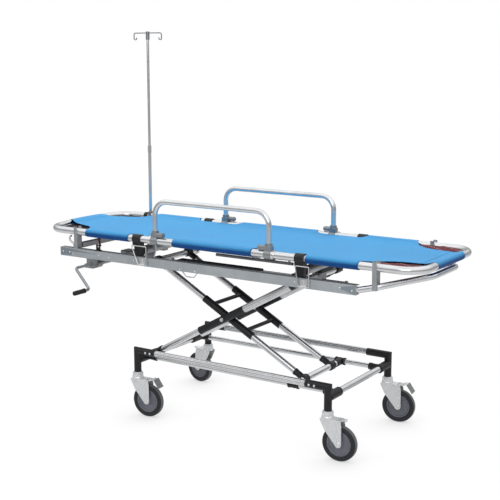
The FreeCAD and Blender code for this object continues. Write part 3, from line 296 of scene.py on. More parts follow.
def paint_fold_highlights_and_head_shadow(mat):
    """Painted highlights along the ridges of the diagonal folds, and painted shadow darkening
    towards the head end.
    """
    color = mat.shader.inputs["Base Color"].links[0].from_socket
    coords = mat.node("ShaderNodeTexCoord").outputs["Object"]
    axes = mat.node("ShaderNodeSeparateXYZ", {"Vector": coords}).outputs
    # painted shadow: the colour falls to a tenth towards the head end, where the blue sheet shades
    # the maroon one
    head_painted_shadow = mat.node("ShaderNodeMapRange", {
        "From Min": ORIGIN_X - 0.79, "From Max": ORIGIN_X - 0.77,
        "To Min": 0.10, "To Max": 1.0, "Value": axes["X"]}).outputs["Result"]
    pitch = FOLD_PITCH / 1000
    across = mat.math("MULTIPLY_ADD", axes["X"], FOLD_SLOPE, axes["Y"])
    # adding 100 whole folds keeps the count positive
    across = mat.math("MULTIPLY_ADD", across, 1 / pitch,
                      -(ORIGIN_X * FOLD_SLOPE + ORIGIN_Y) / pitch + 100.0)
    # painted highlight on the ridge of each fold
    fold_highlight = mat.ramp(mat.math("FRACT", across), (0.44, 0.0), (0.48, 1.0), (0.53, 1.0), (0.57, 0.0))
    color = mat.mix(fold_highlight, color, (0.30, 0.16, 0.17))
    mat.set(Base_Color=mat.mix(1.0, color, head_painted_shadow, blend="MULTIPLY"))


M_ALU = metal("tube_aluminium", dark=(0.70, 0.715, 0.73), light=(0.86, 0.87, 0.88),
              rough=(0.13, 0.24), scratches=0.16, worn_edges=False)
M_ALU_BASE = metal("base_tube_aluminium", dark=(0.86, 0.87, 0.88), light=(0.96, 0.965, 0.97),
                   rough=(0.14, 0.24), brush=(3, 420, 420), scratches=0.18, worn_edges=False)
# painted shade: dark metal on the flute bottoms stands in for the shade in those recesses
M_FLUTE_SHADE = metal("flute_bottoms_painted_shade", dark=(0.16, 0.165, 0.17), light=(0.24, 0.245, 0.25),
                 rough=(0.4, 0.6), brush=(3, 420, 420), scratches=0.1, worn_edges=False)
M_CUT = metal("sawn_ends", dark=(0.80, 0.81, 0.82), light=(0.92, 0.925, 0.93), rough=(0.30, 0.45),
              brush=(300, 300, 300), metallic=0.55, scratches=0.2, worn_edges=False)
M_CAST = metal("cast_zinc", dark=(0.25, 0.275, 0.29), light=(0.38, 0.405, 0.42),
               rough=(0.30, 0.46), brush=(90, 90, 90), metallic=0.85, scratches=0.2)
M_CHAN = metal("channel_extrusion", dark=(0.44, 0.475, 0.50), light=(0.55, 0.585, 0.61),
               rough=(0.34, 0.5), brush=(2.5, 500, 500), metallic=0.7, scratches=0.4)
M_CHAN_END = metal("channel_end_sleeve", dark=(0.25, 0.30, 0.335), light=(0.34, 0.39, 0.42),
                   rough=(0.34, 0.5), brush=(2.5, 500, 500), metallic=0.7, scratches=0.4)
M_POST = metal("post_extrusion", dark=(0.40, 0.42, 0.43), light=(0.52, 0.54, 0.55),
               rough=(0.30, 0.48), brush=(400, 400, 3), metallic=0.85)
M_ZINC = metal("zinc_plate", dark=(0.82, 0.835, 0.84), light=(0.93, 0.94, 0.94),
               rough=(0.30, 0.44), brush=(40, 40, 40), metallic=0.62, spangle=130, scratches=0.2)
M_CHROME = metal("bright_wire", dark=(0.72, 0.73, 0.74), light=(0.86, 0.87, 0.88),
                 rough=(0.08, 0.22), brush=(30, 30, 30), scratches=0.2, worn_edges=False)
M_CRANK = metal("crank_plate", dark=(0.34, 0.36, 0.375), light=(0.46, 0.48, 0.495),
                rough=(0.28, 0.42), brush=(60, 60, 60), metallic=0.85, scratches=0.25)
M_RAIL_DARK = metal("dark_rail", dark=(0.10, 0.105, 0.11), light=(0.17, 0.175, 0.18),
                    rough=(0.3, 0.45), brush=(3, 300, 300), metallic=0.8)
M_STEEL = metal("machined_steel", dark=(0.27, 0.28, 0.29), light=(0.40, 0.41, 0.42),
                rough=(0.28, 0.5), brush=(200, 10, 200), metallic=0.9)
M_BLACK = plastic("black_fitting", dark=(0.007, 0.0075, 0.009), light=(0.014, 0.0145, 0.017),
                  coat=0.05)
M_POWDER = plastic("black_powder_coat", dark=(0.012, 0.0125, 0.014), light=(0.022, 0.023, 0.026),
                   grain=1400)
M_GRIP = plastic("grip_rubber", dark=(0.010, 0.010, 0.011), light=(0.02, 0.02, 0.021),
                 rough=(0.5, 0.7), grain=600)
M_PAD = plastic("pedal_pad", dark=(0.20, 0.205, 0.20), light=(0.30, 0.305, 0.30),
                rough=(0.45, 0.6), grain=700)
# side: painted shade for the steep faces; the thread's side equals its top colour, so it paints
# none
M_BLUE = cloth("blue_sheet_cloth", dark=(0.055, 0.300, 0.600), light=(0.074, 0.345, 0.665),
               side=(0.004, 0.060, 0.225), thread=1100, rough=(0.5, 0.68)).material
maroon = cloth("maroon_cloth", dark=(0.085, 0.011, 0.016), light=(0.135, 0.020, 0.026),
               side=(0.085, 0.075, 0.080), thread=900, painted_shade_range=(0.05, 0.55))
paint_fold_highlights_and_head_shadow(maroon)
M_MAROON = maroon.material
M_THREAD = cloth("blue_thread", dark=(0.060, 0.315, 0.62), light=(0.080, 0.36, 0.68),
                 side=(0.060, 0.315, 0.62), thread=5000).material
M_WEB = cloth("maroon_webbing", dark=(0.13, 0.020, 0.028), light=(0.19, 0.032, 0.042),
              side=(0.10, 0.014, 0.020), thread=2200, rough=(0.55, 0.75)).material


# ------------------------------------------------------------ frame materials
BASE_Y = 277.0                # base side tubes and corner posts, either side of the middle
BASE_TUBE_Z = 302.0
LEG_Y = 153.5                 # outer leg tubes
LEG_LOW, LEG_HIGH = (-493.0, 260.0), (290.9, 694.0)    # x and z of the leg line's ends
LEG_LENGTH = math.hypot(LEG_HIGH[0] - LEG_LOW[0], LEG_HIGH[1] - LEG_LOW[1])
LEG_X = (LEG_HIGH[0] - LEG_LOW[0]) / LEG_LENGTH        # unit direction of the leg
LEG_Z = (LEG_HIGH[1] - LEG_LOW[1]) / LEG_LENGTH
# padded pedals: x and y of the caster's swivel, and its turn in degrees
PADDED_PEDALS = {"right_head": (-493.0, -BASE_Y, 6.0), "left_foot": (493.0, BASE_Y, 8.0)}
PAD_REACH, PAD_HEIGHT = 106, 160     # a point on the pad, out from the swivel and up
PAD_OUT, PAD_UP = 0.829, 0.559       # direction square to the pad


def assign(name, *materials):
    slots = nodes[name].data.materials
    slots.clear()
    for material in materials:
        slots.append(material)


def by_face(name, rule, *materials):
    """Material index of each face is rule(centre in drawing millimetres, normal)."""
    assign(name, *materials)
    for face in nodes[name].data.polygons:
        x, y, z = face.center
        centre = ((x - ORIGIN_X) * 1000, (y - ORIGIN_Y) * 1000, z * 1000)
        face.material_index = int(rule(centre, face.normal))


def channel_part(centre, normal):
    """1 on the cut end faces, 2 on the end sleeves, 0 between."""
    x = centre[0]
    if abs(normal.x) > 0.9 and (x > 614 or x < -930):
        return 1
    return 2 if x > 529 or x < -812 else 0


def in_leg_flute(centre, normal):
    """Flute bottoms on the upper part of the outer legs, which get painted shade."""
    x, z = centre[0] - LEG_LOW[0], centre[2] - LEG_LOW[1]
    along = x * LEG_X + z * LEG_Z
    radius = math.hypot(-x * LEG_Z + z * LEG_X, abs(centre[1]) - LEG_Y)
    return (along > LEG_LENGTH / 2 + 126 and 14.2 < radius < 16.45
            and abs(normal.x * LEG_X + normal.z * LEG_Z) < 0.5)


def pedal_rule(tag):
    """Rule that picks the pad of a padded pedal, and nothing on the others."""
    if tag not in PADDED_PEDALS:
        return lambda centre, normal: 0
    swivel_x, swivel_y, turn = PADDED_PEDALS[tag]
    cos_turn, sin_turn = math.cos(math.radians(turn)), math.sin(math.radians(turn))

    def on_pad(centre, normal):
        reach = (centre[0] - swivel_x) * cos_turn + (centre[1] - swivel_y) * sin_turn
        out, up = reach - PAD_REACH, centre[2] - PAD_HEIGHT
        depth = PAD_OUT * out + PAD_UP * up
        across = PAD_UP * out - PAD_OUT * up
        return -0.3 < depth < 7.3 and abs(across) < 23.3 and reach > 88
    return on_pad


def dress_wheel(name, tag):
    """Rubber on the rim and the outer side walls, core inside; sizes in metres."""
    joint = next(j for j in frame["joints"] if j["name"] == "wheel_spin_" + tag)
    low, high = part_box(name)
    centre = (low + high) / 2
    axis = Vector(tuple(joint["axis"]))
    place_on_axle = (tag, tuple(centre), tuple(axis))
    assign(name, tyre_rubber(*place_on_axle), wheel_core(*place_on_axle))
    for face in nodes[name].data.polygons:
        offset = face.center - centre
        along = offset.dot(axis)
        radius = (offset - axis * along).length
        rubber = radius > 0.0531 or (radius > 0.0529 and abs(along) > 0.0121)
        face.material_index = 0 if rubber else 1


# pieces of one material; all others start as aluminium
PLAIN = (
    (M_BLACK, ("base_tees", "outer_leg_sleeves", "outer_leg_eyes", "inner_leg_frame",
               "inner_leg_eyes", "lower_slide_tees", "cradle_blocks", "stretcher_feet",
               "iv_pole_socket", "crank_torque_shaft")),
    (M_POWDER, ("damper_cylinder",)),
    (M_POST, ("frame_crossmembers", "support_posts")),
    (M_CHROME, ("leg_pivot_bolts", "iv_pole_lower")),
    (M_STEEL, ("gear_housing", "crank_bearing", "lead_screw")),
    (M_CRANK, ("crank_handle",)),
    (M_GRIP, ("crank_grip",)),
)
# name prefixes of repeated pieces
REPEATED = (
    (M_CHROME, ("latch_bail", "head_latch")),
    (M_ZINC, ("caster_fork",)),
    (M_CAST, ("rail_collars",)),
)
# piece, rule and materials by index
SPLIT = (
    ("corner_posts", lambda c, n: abs(abs(c[1]) - BASE_Y) > 16.55, M_BLACK, M_CHROME),
    ("upper_slide_blocks", lambda c, n: abs(c[1]) < 50, M_BLACK, M_STEEL),
    ("iv_pole_upper", lambda c, n: c[2] > 1693, M_CHROME, M_STEEL),
    ("side_channels", channel_part, M_CHAN, M_CUT, M_CHAN_END),
    # the flute bottoms of the base tubes get painted shade
    ("base_side_tubes",
     lambda c, n: math.hypot(abs(c[1]) - BASE_Y, c[2] - BASE_TUBE_Z) < 13.56,
     M_ALU_BASE, M_FLUTE_SHADE),
    ("stretcher_rings_and_under_rails", lambda c, n: c[2] < 797.5, M_ALU, M_RAIL_DARK),
    ("frame_rivets_and_loops", lambda c, n: 739.5 < c[2] < 769 and -732 < c[0] < -700,
     M_CHROME, M_BLACK),
    ("outer_leg_tubes", in_leg_flute, M_ALU, M_FLUTE_SHADE),
)


def add_modifier(obj, name, kind, **settings):
    modifier = obj.modifiers.new(name, kind)
    for key, value in settings.items():
        setattr(modifier, key, value)
    return modifier


for name in nodes:
    assign(name, M_ALU)
for material, names in PLAIN:
    for name in names:
        assign(name, material)
for name, rule, *materials in SPLIT:
    by_face(name, rule, *materials)
for name in nodes:
    for material, prefixes in REPEATED:
        if name.startswith(prefixes):
            assign(name, material)
    if name.startswith("caster_wheel"):
        dress_wheel(name, name[13:])
    if name.startswith("brake_pedal"):
        by_face(name, pedal_rule(name[12:]), M_ZINC, M_PAD)
for obj in nodes.values():
    obj.data.shade_smooth()
    add_modifier(obj, "edge_split", "EDGE_SPLIT", split_angle=math.radians(32))


# --------------------------------------------------------------- mesh helpers
def mesh_object(name, verts, faces, material, body=None):
    """Smooth mesh from points in metres, riding on a body when one is given."""
    mesh = bpy.data.meshes.new(name)
    mesh.from_pydata([tuple(v) for v in verts], [], faces)
    mesh.update()
    obj = bpy.data.objects.new(name, mesh)
    scene.collection.objects.link(obj)
    bm = bmesh.new()
    bm.from_mesh(mesh)
    bmesh.ops.recalc_face_normals(bm, faces=bm.faces)
    bm.to_mesh(mesh)
    bm.free()
    mesh.materials.append(material)
    mesh.shade_smooth()
    if body:
        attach(obj, body)
    return obj


def apply_modifiers(obj):
    depsgraph = bpy.context.evaluated_depsgraph_get()
    mesh = bpy.data.meshes.new_from_object(obj.evaluated_get(depsgraph))
    obj.modifiers.clear()
    obj.data = mesh
    mesh.shade_smooth()


def grid_faces(rows, columns):
    """Quads between rows of points, each row with the given number of points."""
    return [(a, a + 1, a + columns + 1, a + columns)
            for row in range(rows - 1)
            for a in range(row * columns, (row + 1) * columns - 1)]


def ring_faces(first, second, count):
    """Quads between two closed rings that start at the given vertices."""
    return [(first + k, first + (k + 1) % count, second + (k + 1) % count, second + k)
            for k in range(count)]


def sweep(path, profile, axes):
    """Capped bar along a path in metres; axes(direction) gives the profile's two axes."""
    count, last = len(profile), len(path) - 1
    verts, faces = [], []
    for i, point in enumerate(path):
        direction = (path[min(i + 1, last)] - path[max(i - 1, 0)]).normalized()
        across, up = axes(direction)
        verts += [point + across * (u / 1000) + up * (v / 1000) for u, v in profile]
    for i in range(last):
        faces += ring_faces(i * count, (i + 1) * count, count)
    faces.append(tuple(range(count)))
    faces.append(tuple(last * count + k for k in reversed(range(count))))
    return verts, faces


# ----------------------------------------------------------------- blue sheet
TUBE_Y, TUBE_Z, TUBE_R = 275.0, 818.0, 16.0    # side tubes; the end tubes share Z and radius
FOOT_X = 877.0                                 # straight foot tube
WRAP_R = TUBE_R + 1.05                         # middle of the cloth round an end tube

# The head tube is an arc between two corner bends.
CORNER_R = 95.0
CORNER_TURN = math.radians(77.4)
BOW_END_X = -1020.0
BOW_END_Y = -TUBE_Y + CORNER_R * (1 - math.cos(CORNER_TURN))
BOW_HALF_ANGLE = math.pi / 2 - CORNER_TURN
BOW_R = -BOW_END_Y / math.sin(BOW_HALF_ANGLE)
BOW_TIP_X = BOW_END_X - BOW_R * (1 - math.cos(BOW_HALF_ANGLE))

SHEET_Z = 834.95
SHEET_HEAD_X = -1012       # the flat part of the sheet runs from here to FOOT_X
ACROSS_STEPS = 56
HEMS = [(-776.0, -526.0), (-280.0, 128.0), (386.0, 623.0)]    # x spans sewn round the tubes
NOTCH_Y = 249              # sheet edge in the notches between the hems
# outline of the sheet: x and half width
EDGE = [
    (-1052, 103), (-994, 120), (-925, 148), (-867, 166), (-837, 183), (-799, 240), (-786, 262),
    (-776, 275), (-526, 275), (-525.5, 268), (-522, 252), (-517, 249),
    (-289, 249), (-284, 252), (-280.5, 268), (-280, 275),
    (128, 275), (128.5, 268), (132, 252), (137, 249),
    (377, 249), (382, 252), (385.5, 268), (386, 275),
    (623, 275), (629, 258), (646, 224), (668, 200), (692, 180), (720, 165), (750, 156),
    (781, 151), (812, 148), (845, 141), (877, 134),
]


def bow(y):
    """Centre X of the bowed head tube at offset y."""
    return BOW_TIP_X + BOW_R - math.sqrt(BOW_R * BOW_R - y * y)


def half_width(x):
    for (xa, ya), (xb, yb) in zip(EDGE, EDGE[1:]):
        if xa <= x <= xb:
            return ya + (yb - ya) * (x - xa) / (xb - xa)
    return EDGE[0][1] if x < EDGE[0][0] else EDGE[-1][1]


def sheet_stations():
    """Even x stations merged with the outline's; those closer than 4 mm to one are dropped."""
    fixed = {float(x) for x, _ in EDGE}
    stations = set(np.round(np.linspace(SHEET_HEAD_X, FOOT_X, 152), 2))
    stations |= {x for x in fixed if SHEET_HEAD_X < x < FOOT_X}
    first, *rest = sorted(stations)
    kept = [first]
    for x in rest:
        close = x - kept[-1] < 4.0
        if close and x not in fixed:
            continue
        if close and kept[-1] not in fixed:
            kept[-1] = x
            continue
        kept.append(x)
    return kept


def tension(x, y):
    """Small creases fanning from the notches and cut corners, with soft unevenness."""
    z = 0.0
    for notch_x in (-403.0, 257.0):
        for side in (-1, 1):
            dx, dy = x - notch_x, (side * NOTCH_Y - y) * side
            fan = math.cos(math.atan2(dx, max(dy, 1.0)) * 13.0)
            z += 0.55 * fan * math.exp(-math.hypot(dx, dy) / 75.0)
    for corner_x, corner_y in ((656.0, 212.0), (-808.0, 225.0)):
        for side in (-1, 1):
            dx, dy = x - corner_x, y - side * corner_y
            fan = math.cos(math.atan2(dy * side, dx) * 11.0)
            z += 0.7 * fan * math.exp(-math.hypot(dx, dy) / 85.0)
    z += 0.35 * noise.noise(Vector((x / 95.0, y / 60.0, 3.1)))
    z += 0.5 * noise.noise(Vector((x / 260.0, y / 150.0, 9.7)))
    return z


def sheet_mesh():
    """Vertices, faces and which vertices are held, in rows from the head to the foot."""
    stations = sheet_stations()
    # places across the sheet from -1 to 1, slightly closer towards its edges
    steps = [-1 + 2 * k / ACROSS_STEPS for k in range(ACROSS_STEPS + 1)]
    across = [math.copysign(abs(t) ** 0.92, t) for t in steps]
    points, held = [], []

    def held_row(width, locate):
        """Row of a half width, with locate(y) giving x and z."""
        for v in across:
            x, z = locate(v * width)
            points.append((x, v * width, z))
            held.append(True)

    # underside seam, then round the bowed tube up to the top; degrees from straight up
    head_width = half_width(-1052)
    held_row(head_width + 14, lambda y: (-985.0, SHEET_Z - 8.0))
    for degrees in (200, 176, 150, 120, 90, 60, 30, 0):
        a = math.radians(degrees)
        held_row(head_width + 6 * (a / math.pi),
                 lambda y: (bow(y) - WRAP_R * math.sin(a), TUBE_Z + WRAP_R * math.cos(a)))
    for t in (0.35, 0.7):
        held_row(half_width(-1052 + 20 * t),
                 lambda y: (bow(y) + (stations[0] - bow(y)) * t, SHEET_Z + 0.1))
    # flat part, sagging between the side tubes
    for x in stations:
        width = half_width(x)
        end_fade = (min(1.0, max(0.0, (x - SHEET_HEAD_X) / 160.0))
                    * min(1.0, max(0.0, (862 - x) / 150.0)))
        in_hem = any(start - 1 <= x <= end + 1 for start, end in HEMS)
        for v in across:
            y = v * width
            inner = max(0.0, 1 - (abs(y) / max(60.0, width)) ** 2)
            z = (SHEET_Z - 5.0 * inner * end_fade
                 + tension(x, y) * min(1.0, inner * 4) * end_fade)
            points.append((x, y, z))
            held.append(in_hem and abs(y) > NOTCH_Y or x < -1000 or x > 866)
    # over the foot tube and back to a seam below
    foot_width = half_width(FOOT_X)
    for degrees in (18, 40, 65, 90, 115, 140, 165, 185, 205):
        a = math.radians(degrees)
        width = foot_width - 0.6 * min(1, degrees / 60.0) + 3.0 * max(0, (degrees - 90) / 90.0)
        held_row(width,
                 lambda y: (FOOT_X + WRAP_R * math.sin(a), TUBE_Z + WRAP_R * math.cos(a)))
    held_row(foot_width + 8, lambda y: (FOOT_X - 52.0, SHEET_Z - 9.0))
    columns = len(across)
    return [place(*p) for p in points], grid_faces(len(points) // columns, columns), held


def drape(obj, held):
    """Settles the sheet as cloth, moving no point by more than 9 mm."""
    last_frame = 22
    most_move = 0.009
    rest = np.array([v.co for v in obj.data.vertices])
    group = obj.vertex_groups.new(name="held")
    group.add([i for i, pin in enumerate(held) if pin], 1.0, "REPLACE")
    modifier = obj.modifiers.new("drape", "CLOTH")
    settings = modifier.settings
    settings.quality = 7
    settings.mass = 0.45
    settings.tension_stiffness = 60
    settings.compression_stiffness = 30
    settings.shear_stiffness = 20
    settings.bending_stiffness = 2.5
    settings.vertex_group_mass = "held"
    settings.shrink_min = -0.0015
    modifier.collision_settings.use_collision = False
    modifier.point_cache.frame_start, modifier.point_cache.frame_end = 1, last_frame
    for step in range(1, last_frame + 1):
        scene.frame_set(step)
    depsgraph = bpy.context.evaluated_depsgraph_get()
    settled = np.array([v.co for v in obj.evaluated_get(depsgraph).to_mesh().vertices])
    obj.modifiers.clear()
    move = settled - rest
    length = np.linalg.norm(move, axis=1)
    scale = np.where(length > most_move, most_move / np.maximum(length, 1e-12), 1.0)
    final = rest + move * scale[:, None]
    obj.data.vertices.foreach_set("co", final.astype(np.float32).ravel())
    obj.data.update()
    scene.frame_set(1)


sheet_verts, sheet_faces, sheet_held = sheet_mesh()
sheet = mesh_object("blue_sheet", sheet_verts, sheet_faces, M_BLUE)
drape(sheet, sheet_held)
add_modifier(sheet, "thick", "SOLIDIFY", thickness=0.0013, offset=0.0)
add_modifier(sheet, "smooth", "SUBSURF", levels=1, render_levels=1)
apply_modifiers(sheet)
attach(sheet, "stretcher")
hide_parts("stretcher_sheet")


def sheet_height(x, y):
    """Top of the finished sheet in metres, found by a ray from above."""
    hit, location, _, _ = sheet.ray_cast(place(x, y, 900), Vector((0, 0, -1)))
    return location.z if hit else SHEET_Z / 1000 + 0.0007


def hem_sleeve(name, x0, x1, side):
    """Tunnel of cloth round a side tube, with thickness, a flattened top and open ends."""
    around, along = 40, int((x1 - x0) / 9)
    verts, faces = [], []
    for layer, radius in ((0, 18.35), (1, 16.75)):     # outer, then inner surface
        for i in range(along + 1):
            t = i / along
            x = x0 + (x1 - x0) * t
            end = min(1.0, min(t, 1 - t) * (x1 - x0) / 9.0)
            for k in range(around):
                a = 2 * math.pi * k / around           # 0 outward, 90 degrees up
                wobble = 0.35 * noise.noise(Vector(
                    (x / 42.0, math.cos(a) * 1.7, math.sin(a) * 1.7 + side * 5)))
                sag = 0.35 * max(0.0, -math.sin(a))
                gather = max(0.0, math.cos(a - math.radians(215)))
                loose = wobble + sag + 0.5 * gather * abs(math.sin(x / 23.0 + side))
                r = radius + loose * (1 if layer == 0 else 0.4)
                if layer == 0:
                    r = min(r - 0.45 * (1 - end), 18.9)
                z = math.sin(a) * r
                if layer == 0:
                    z = min(z, 17.75)
                ripple = 0.8 * math.sin(3 * a + side) if i in (0, along) else 0
                verts.append(place(x + ripple, side * (TUBE_Y + math.cos(a) * r), TUBE_Z + z))

    def vertex(layer, i, k):
        return (layer * (along + 1) + i) * around + k % around

    for i in range(along):
        for k in range(around):
            faces.append((vertex(0, i, k), vertex(0, i, k + 1),
                          vertex(0, i + 1, k + 1), vertex(0, i + 1, k)))
            faces.append((vertex(1, i, k), vertex(1, i + 1, k),
                          vertex(1, i + 1, k + 1), vertex(1, i, k + 1)))
    for i in (0, along):
        for k in range(around):
            quad = (vertex(0, i, k), vertex(1, i, k), vertex(1, i, k + 1), vertex(0, i, k + 1))
            faces.append(quad if i == 0 else quad[::-1])
    sleeve = mesh_object(name, verts, faces, M_BLUE, "stretcher")
    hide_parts("stretcher_sheet")


for side, side_name in SIDES:
    for i, (start, end) in enumerate(HEMS):
        hem_sleeve("hem_sleeve_%s_%d" % (side_name, i + 1), start, end, side)


# ------------------------------------------------------------------ stitching
STITCH_LENGTH, STITCH_GAP, THREAD_R = 4.2, 2.3, 0.42
THREAD_SIDES = 5
# share of the stitch's length and height above the path; the ends sink into the cloth
STITCH_ARCH = ((0, -0.35), (0.22, 0.35), (0.5, 0.55), (0.78, 0.35), (1, -0.35))


def on_sheet(x, y):
    point = place(x, y, 0)
    point.z = sheet_height(x, y) + 0.0001
    return point


def stitch_paths():
    """Two lines along each hem and two across each end of the sheet."""
    paths = []
    for side, _ in SIDES:
        for start, end in HEMS:
            for offset in (250.0, 253.5):
                count = int((end - start) / 8)
                paths.append([on_sheet(start + (end - start) * i / count, side * offset)
                              for i in range(1, count)])
    # x of the two lines, half width and number of points
    for line_xs, width, count in (((-986.0, -990.0), 108, 34), ((824.0, 828.0), 136, 38)):
        for x in line_xs:
            paths.append([on_sheet(x, y) for y in np.linspace(-width, width, count)])
    return paths


def stitches(name, paths):
    """Rows of separate lockstitches, each a small bent thread."""
    verts, faces = [], []
    for path in paths:
        lengths = [(b - a).length for a, b in zip(path, path[1:])]
        total = sum(lengths) * 1000

        def at(distance):
            """Point and direction at a distance in millimetres along the path."""
            distance = distance / 1000
            for i, length in enumerate(lengths):
                if distance <= length or i == len(lengths) - 1:
                    return (path[i].lerp(path[i + 1], min(1, distance / length)),
                            (path[i + 1] - path[i]).normalized())
                distance -= length

        position = 1.5
        while position + STITCH_LENGTH < total:
            base = len(verts)
            for t, height in STITCH_ARCH:
                point, direction = at(position + STITCH_LENGTH * t)
                across = direction.cross(Vector((0, 0, 1))).normalized()
                for k in range(THREAD_SIDES):
                    a = 2 * math.pi * k / THREAD_SIDES
                    rise = (height + math.sin(a) * THREAD_R * 0.7) / 1000
                    verts.append(point + across * (math.cos(a) * THREAD_R / 1000)
                                 + Vector((0, 0, rise)))
            faces.append(tuple(base + k for k in range(THREAD_SIDES)))
            for _ in STITCH_ARCH[1:]:
                faces += ring_faces(base, base + THREAD_SIDES, THREAD_SIDES)
                base += THREAD_SIDES
            faces.append(tuple(base + k for k in reversed(range(THREAD_SIDES))))
            position += STITCH_LENGTH + STITCH_GAP
    mesh_object(name, verts, faces, M_THREAD, "stretcher")


stitches("hem_stitching", stitch_paths())


# --------------------------------------------------------------- edge binding
BINDING_SPANS = ((-1008, -786), (-517, -289), (137, 377), (630, 868))    # x
# section: offsets across the edge and up
BINDING_SECTION = [(-1.9, 0.9), (1.6, 1.15), (2.3, 0.0), (1.6, -1.15), (-1.9, -0.9)]


def edge_path(x0, x1, side):
    """Points in metres just inside the sheet's outline, at the cloth's middle."""
    stations = {round(x, 1) for x in np.linspace(x0, x1, int((x1 - x0) / 7) + 2)}
    stations |= {float(x) for x, _ in EDGE if x0 < x < x1}
    path = []
    for x in sorted(stations):
        point = place(x, side * (half_width(x) - 0.6), 0)
        point.z = sheet_height(x, side * (half_width(x) - 2.5)) - 0.00065
        path.append(point)
    return path


def binding_axes(direction):
    up = Vector((0, 0, 1))
    return direction.cross(up).normalized(), up


for side, side_name in SIDES:
    for i, span in enumerate(BINDING_SPANS):
        path = edge_path(*span, side)
        verts, faces = sweep(path if side < 0 else path[::-1], BINDING_SECTION, binding_axes)
        mesh_object("edge_binding_%s_%d" % (side_name, i + 1), verts, faces, M_BLUE,
                    "stretcher")


# --------------------------------------------------------------- maroon sheet
def under_sheet():
    """Round-cornered sheet with diagonal folds, hanging just below the blue one."""
    x0, x1, width = -1004.0, 850.0, 246.0
    along, across = 150, 44
    verts = []
    for i in range(along + 1):
        x = x0 + (x1 - x0) * i / along
        from_end = min(x - x0, x1 - x)
        corner = 86.0 if x < 0 else 70.0
        row_width = width
        if from_end <= corner:
            row_width = (width - corner
                         + math.sqrt(max(0.0, corner * corner - (corner - from_end) ** 2)))
        # towards the foot, cloth outside the blue sheet's edge rises
        foot = min(1.0, max(0.0, (x - 620) / 60.0))
        for k in range(across + 1):
            y = (-1 + 2 * k / across) * row_width
            outside = min(1.0, max(0.0, (abs(y) - half_width(x) - 4.0) / 26.0))
            sag = 2.4 * (1 - (y / width) ** 2)
            phase = ((x * FOLD_SLOPE + y) / FOLD_PITCH) % 1.0
            fold = (2.6 * math.exp(-((phase - 0.5) / 0.11) ** 2)
                    - 0.9 * math.exp(-((phase - 0.30) / 0.09) ** 2))
            z = (817.4 + 8.0 * outside * foot - sag + fold * min(1.0, from_end / 30.0)
                 + 0.6 * noise.noise(Vector((x / 60, y / 60, 0.4))))
            verts.append(place(x, y, z))
    obj = mesh_object("maroon_under_sheet", verts, grid_faces(along + 1, across + 1), M_MAROON,
                      "stretcher")
    add_modifier(obj, "thick", "SOLIDIFY", thickness=0.0016, offset=0)
    apply_modifiers(obj)
    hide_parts("stretcher_undersheet")


def tie_strap():
    """Loose end of flat webbing hanging near the head end on the right side."""
    width, thick = 11, 1.8
    path = [(-724, -246, 803), (-723, -252, 800), (-721, -258, 790),
            (-719, -260, 776), (-716, -259, 764), (-713, -257, 757)]
    # section with rounded edges, as shares of the width and thickness
    section = [(-0.5, -0.25), (-0.5, 0.25), (-0.42, 0.5), (0.42, 0.5),
               (0.5, 0.25), (0.5, -0.25), (0.42, -0.5), (-0.42, -0.5)]
    across = Vector((1, 0.2, 0)).normalized()
    verts, faces = sweep([place(*point) for point in path],
                         [(u * width, v * thick) for u, v in section],
                         lambda direction: (across, direction.cross(across).normalized()))
    obj = mesh_object("tie_strap_end", verts, faces, M_WEB, "stretcher")
    add_modifier(obj, "round", "SUBSURF", levels=1, render_levels=1)
    apply_modifiers(obj)


under_sheet()
tie_strap()


# ----------------------------------------------------------------- crank grip
def grip_ribs():
    """Ribs round the crank grip, which lies along Y; sizes in metres."""
    count, first, pitch, around = 9, 0.012, 0.0062, 28
    # section of a rib: offset along the grip and radius
    section = ((-0.0016, 0.0098), (-0.0008, 0.01062), (0.0008, 0.01062), (0.0016, 0.0098))
    low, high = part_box("crank_grip")
    centre = (low + high) / 2
    verts, faces = [], []
    for rib in range(count):
        y = low.y + first + rib * pitch
        base = len(verts)
        for k in range(around):
            a = 2 * math.pi * k / around
            verts += [Vector((centre.x + radius * math.cos(a), y + offset,
                              centre.z + radius * math.sin(a))) for offset, radius in section]
        for k in range(around):
            faces += ring_faces(base + k * 4, base + ((k + 1) % around) * 4, 4)
    mesh_object("crank_grip_ribs", verts, faces, M_GRIP, "crank_grip")


grip_ribs()


# -------------------------------------------------------------------- setting
def floor_paper():
    """Paper that the camera sees as a white glow with painted soft contact shadow; it still
    bounces light.
    """
    mat = Mat("studio_floor_paper")
    mottle = mat.noise(scale=1.2, detail=4, rough=0.5)
    mat.set(Base_Color=mat.ramp(mottle, (0.3, (0.86, 0.862, 0.865)), (0.7, 0.90)),
            Roughness=0.9, Specular_IOR_Level=0.1)
    mat.bump(mat.noise(scale=300, detail=2, rough=0.5), strength=0.03, distance=0.0005)
    # painted contact shadow: ambient occlusion dims the glow that camera rays see
    contact_shadow = mat.node("ShaderNodeAmbientOcclusion", {"Distance": 0.26}, samples=16)
    light = mat.ramp(contact_shadow.outputs["AO"], (0.30, 0.66), (0.96, 1.0))
    glow = mat.node("ShaderNodeEmission", {"Color": rgba(1.0),
                                           "Strength": mat.math("MULTIPLY", light, 1.02)})
    to_camera = mat.node("ShaderNodeLightPath").outputs["Is Camera Ray"]
    mixed = mat.node("ShaderNodeMixShader", {
        0: mat.math("MULTIPLY", to_camera, 0.96),
        1: mat.shader.outputs["BSDF"], 2: glow.outputs[0]})
    mat.feed(mat.output.inputs["Surface"], mixed.outputs[0])
    return mat.material


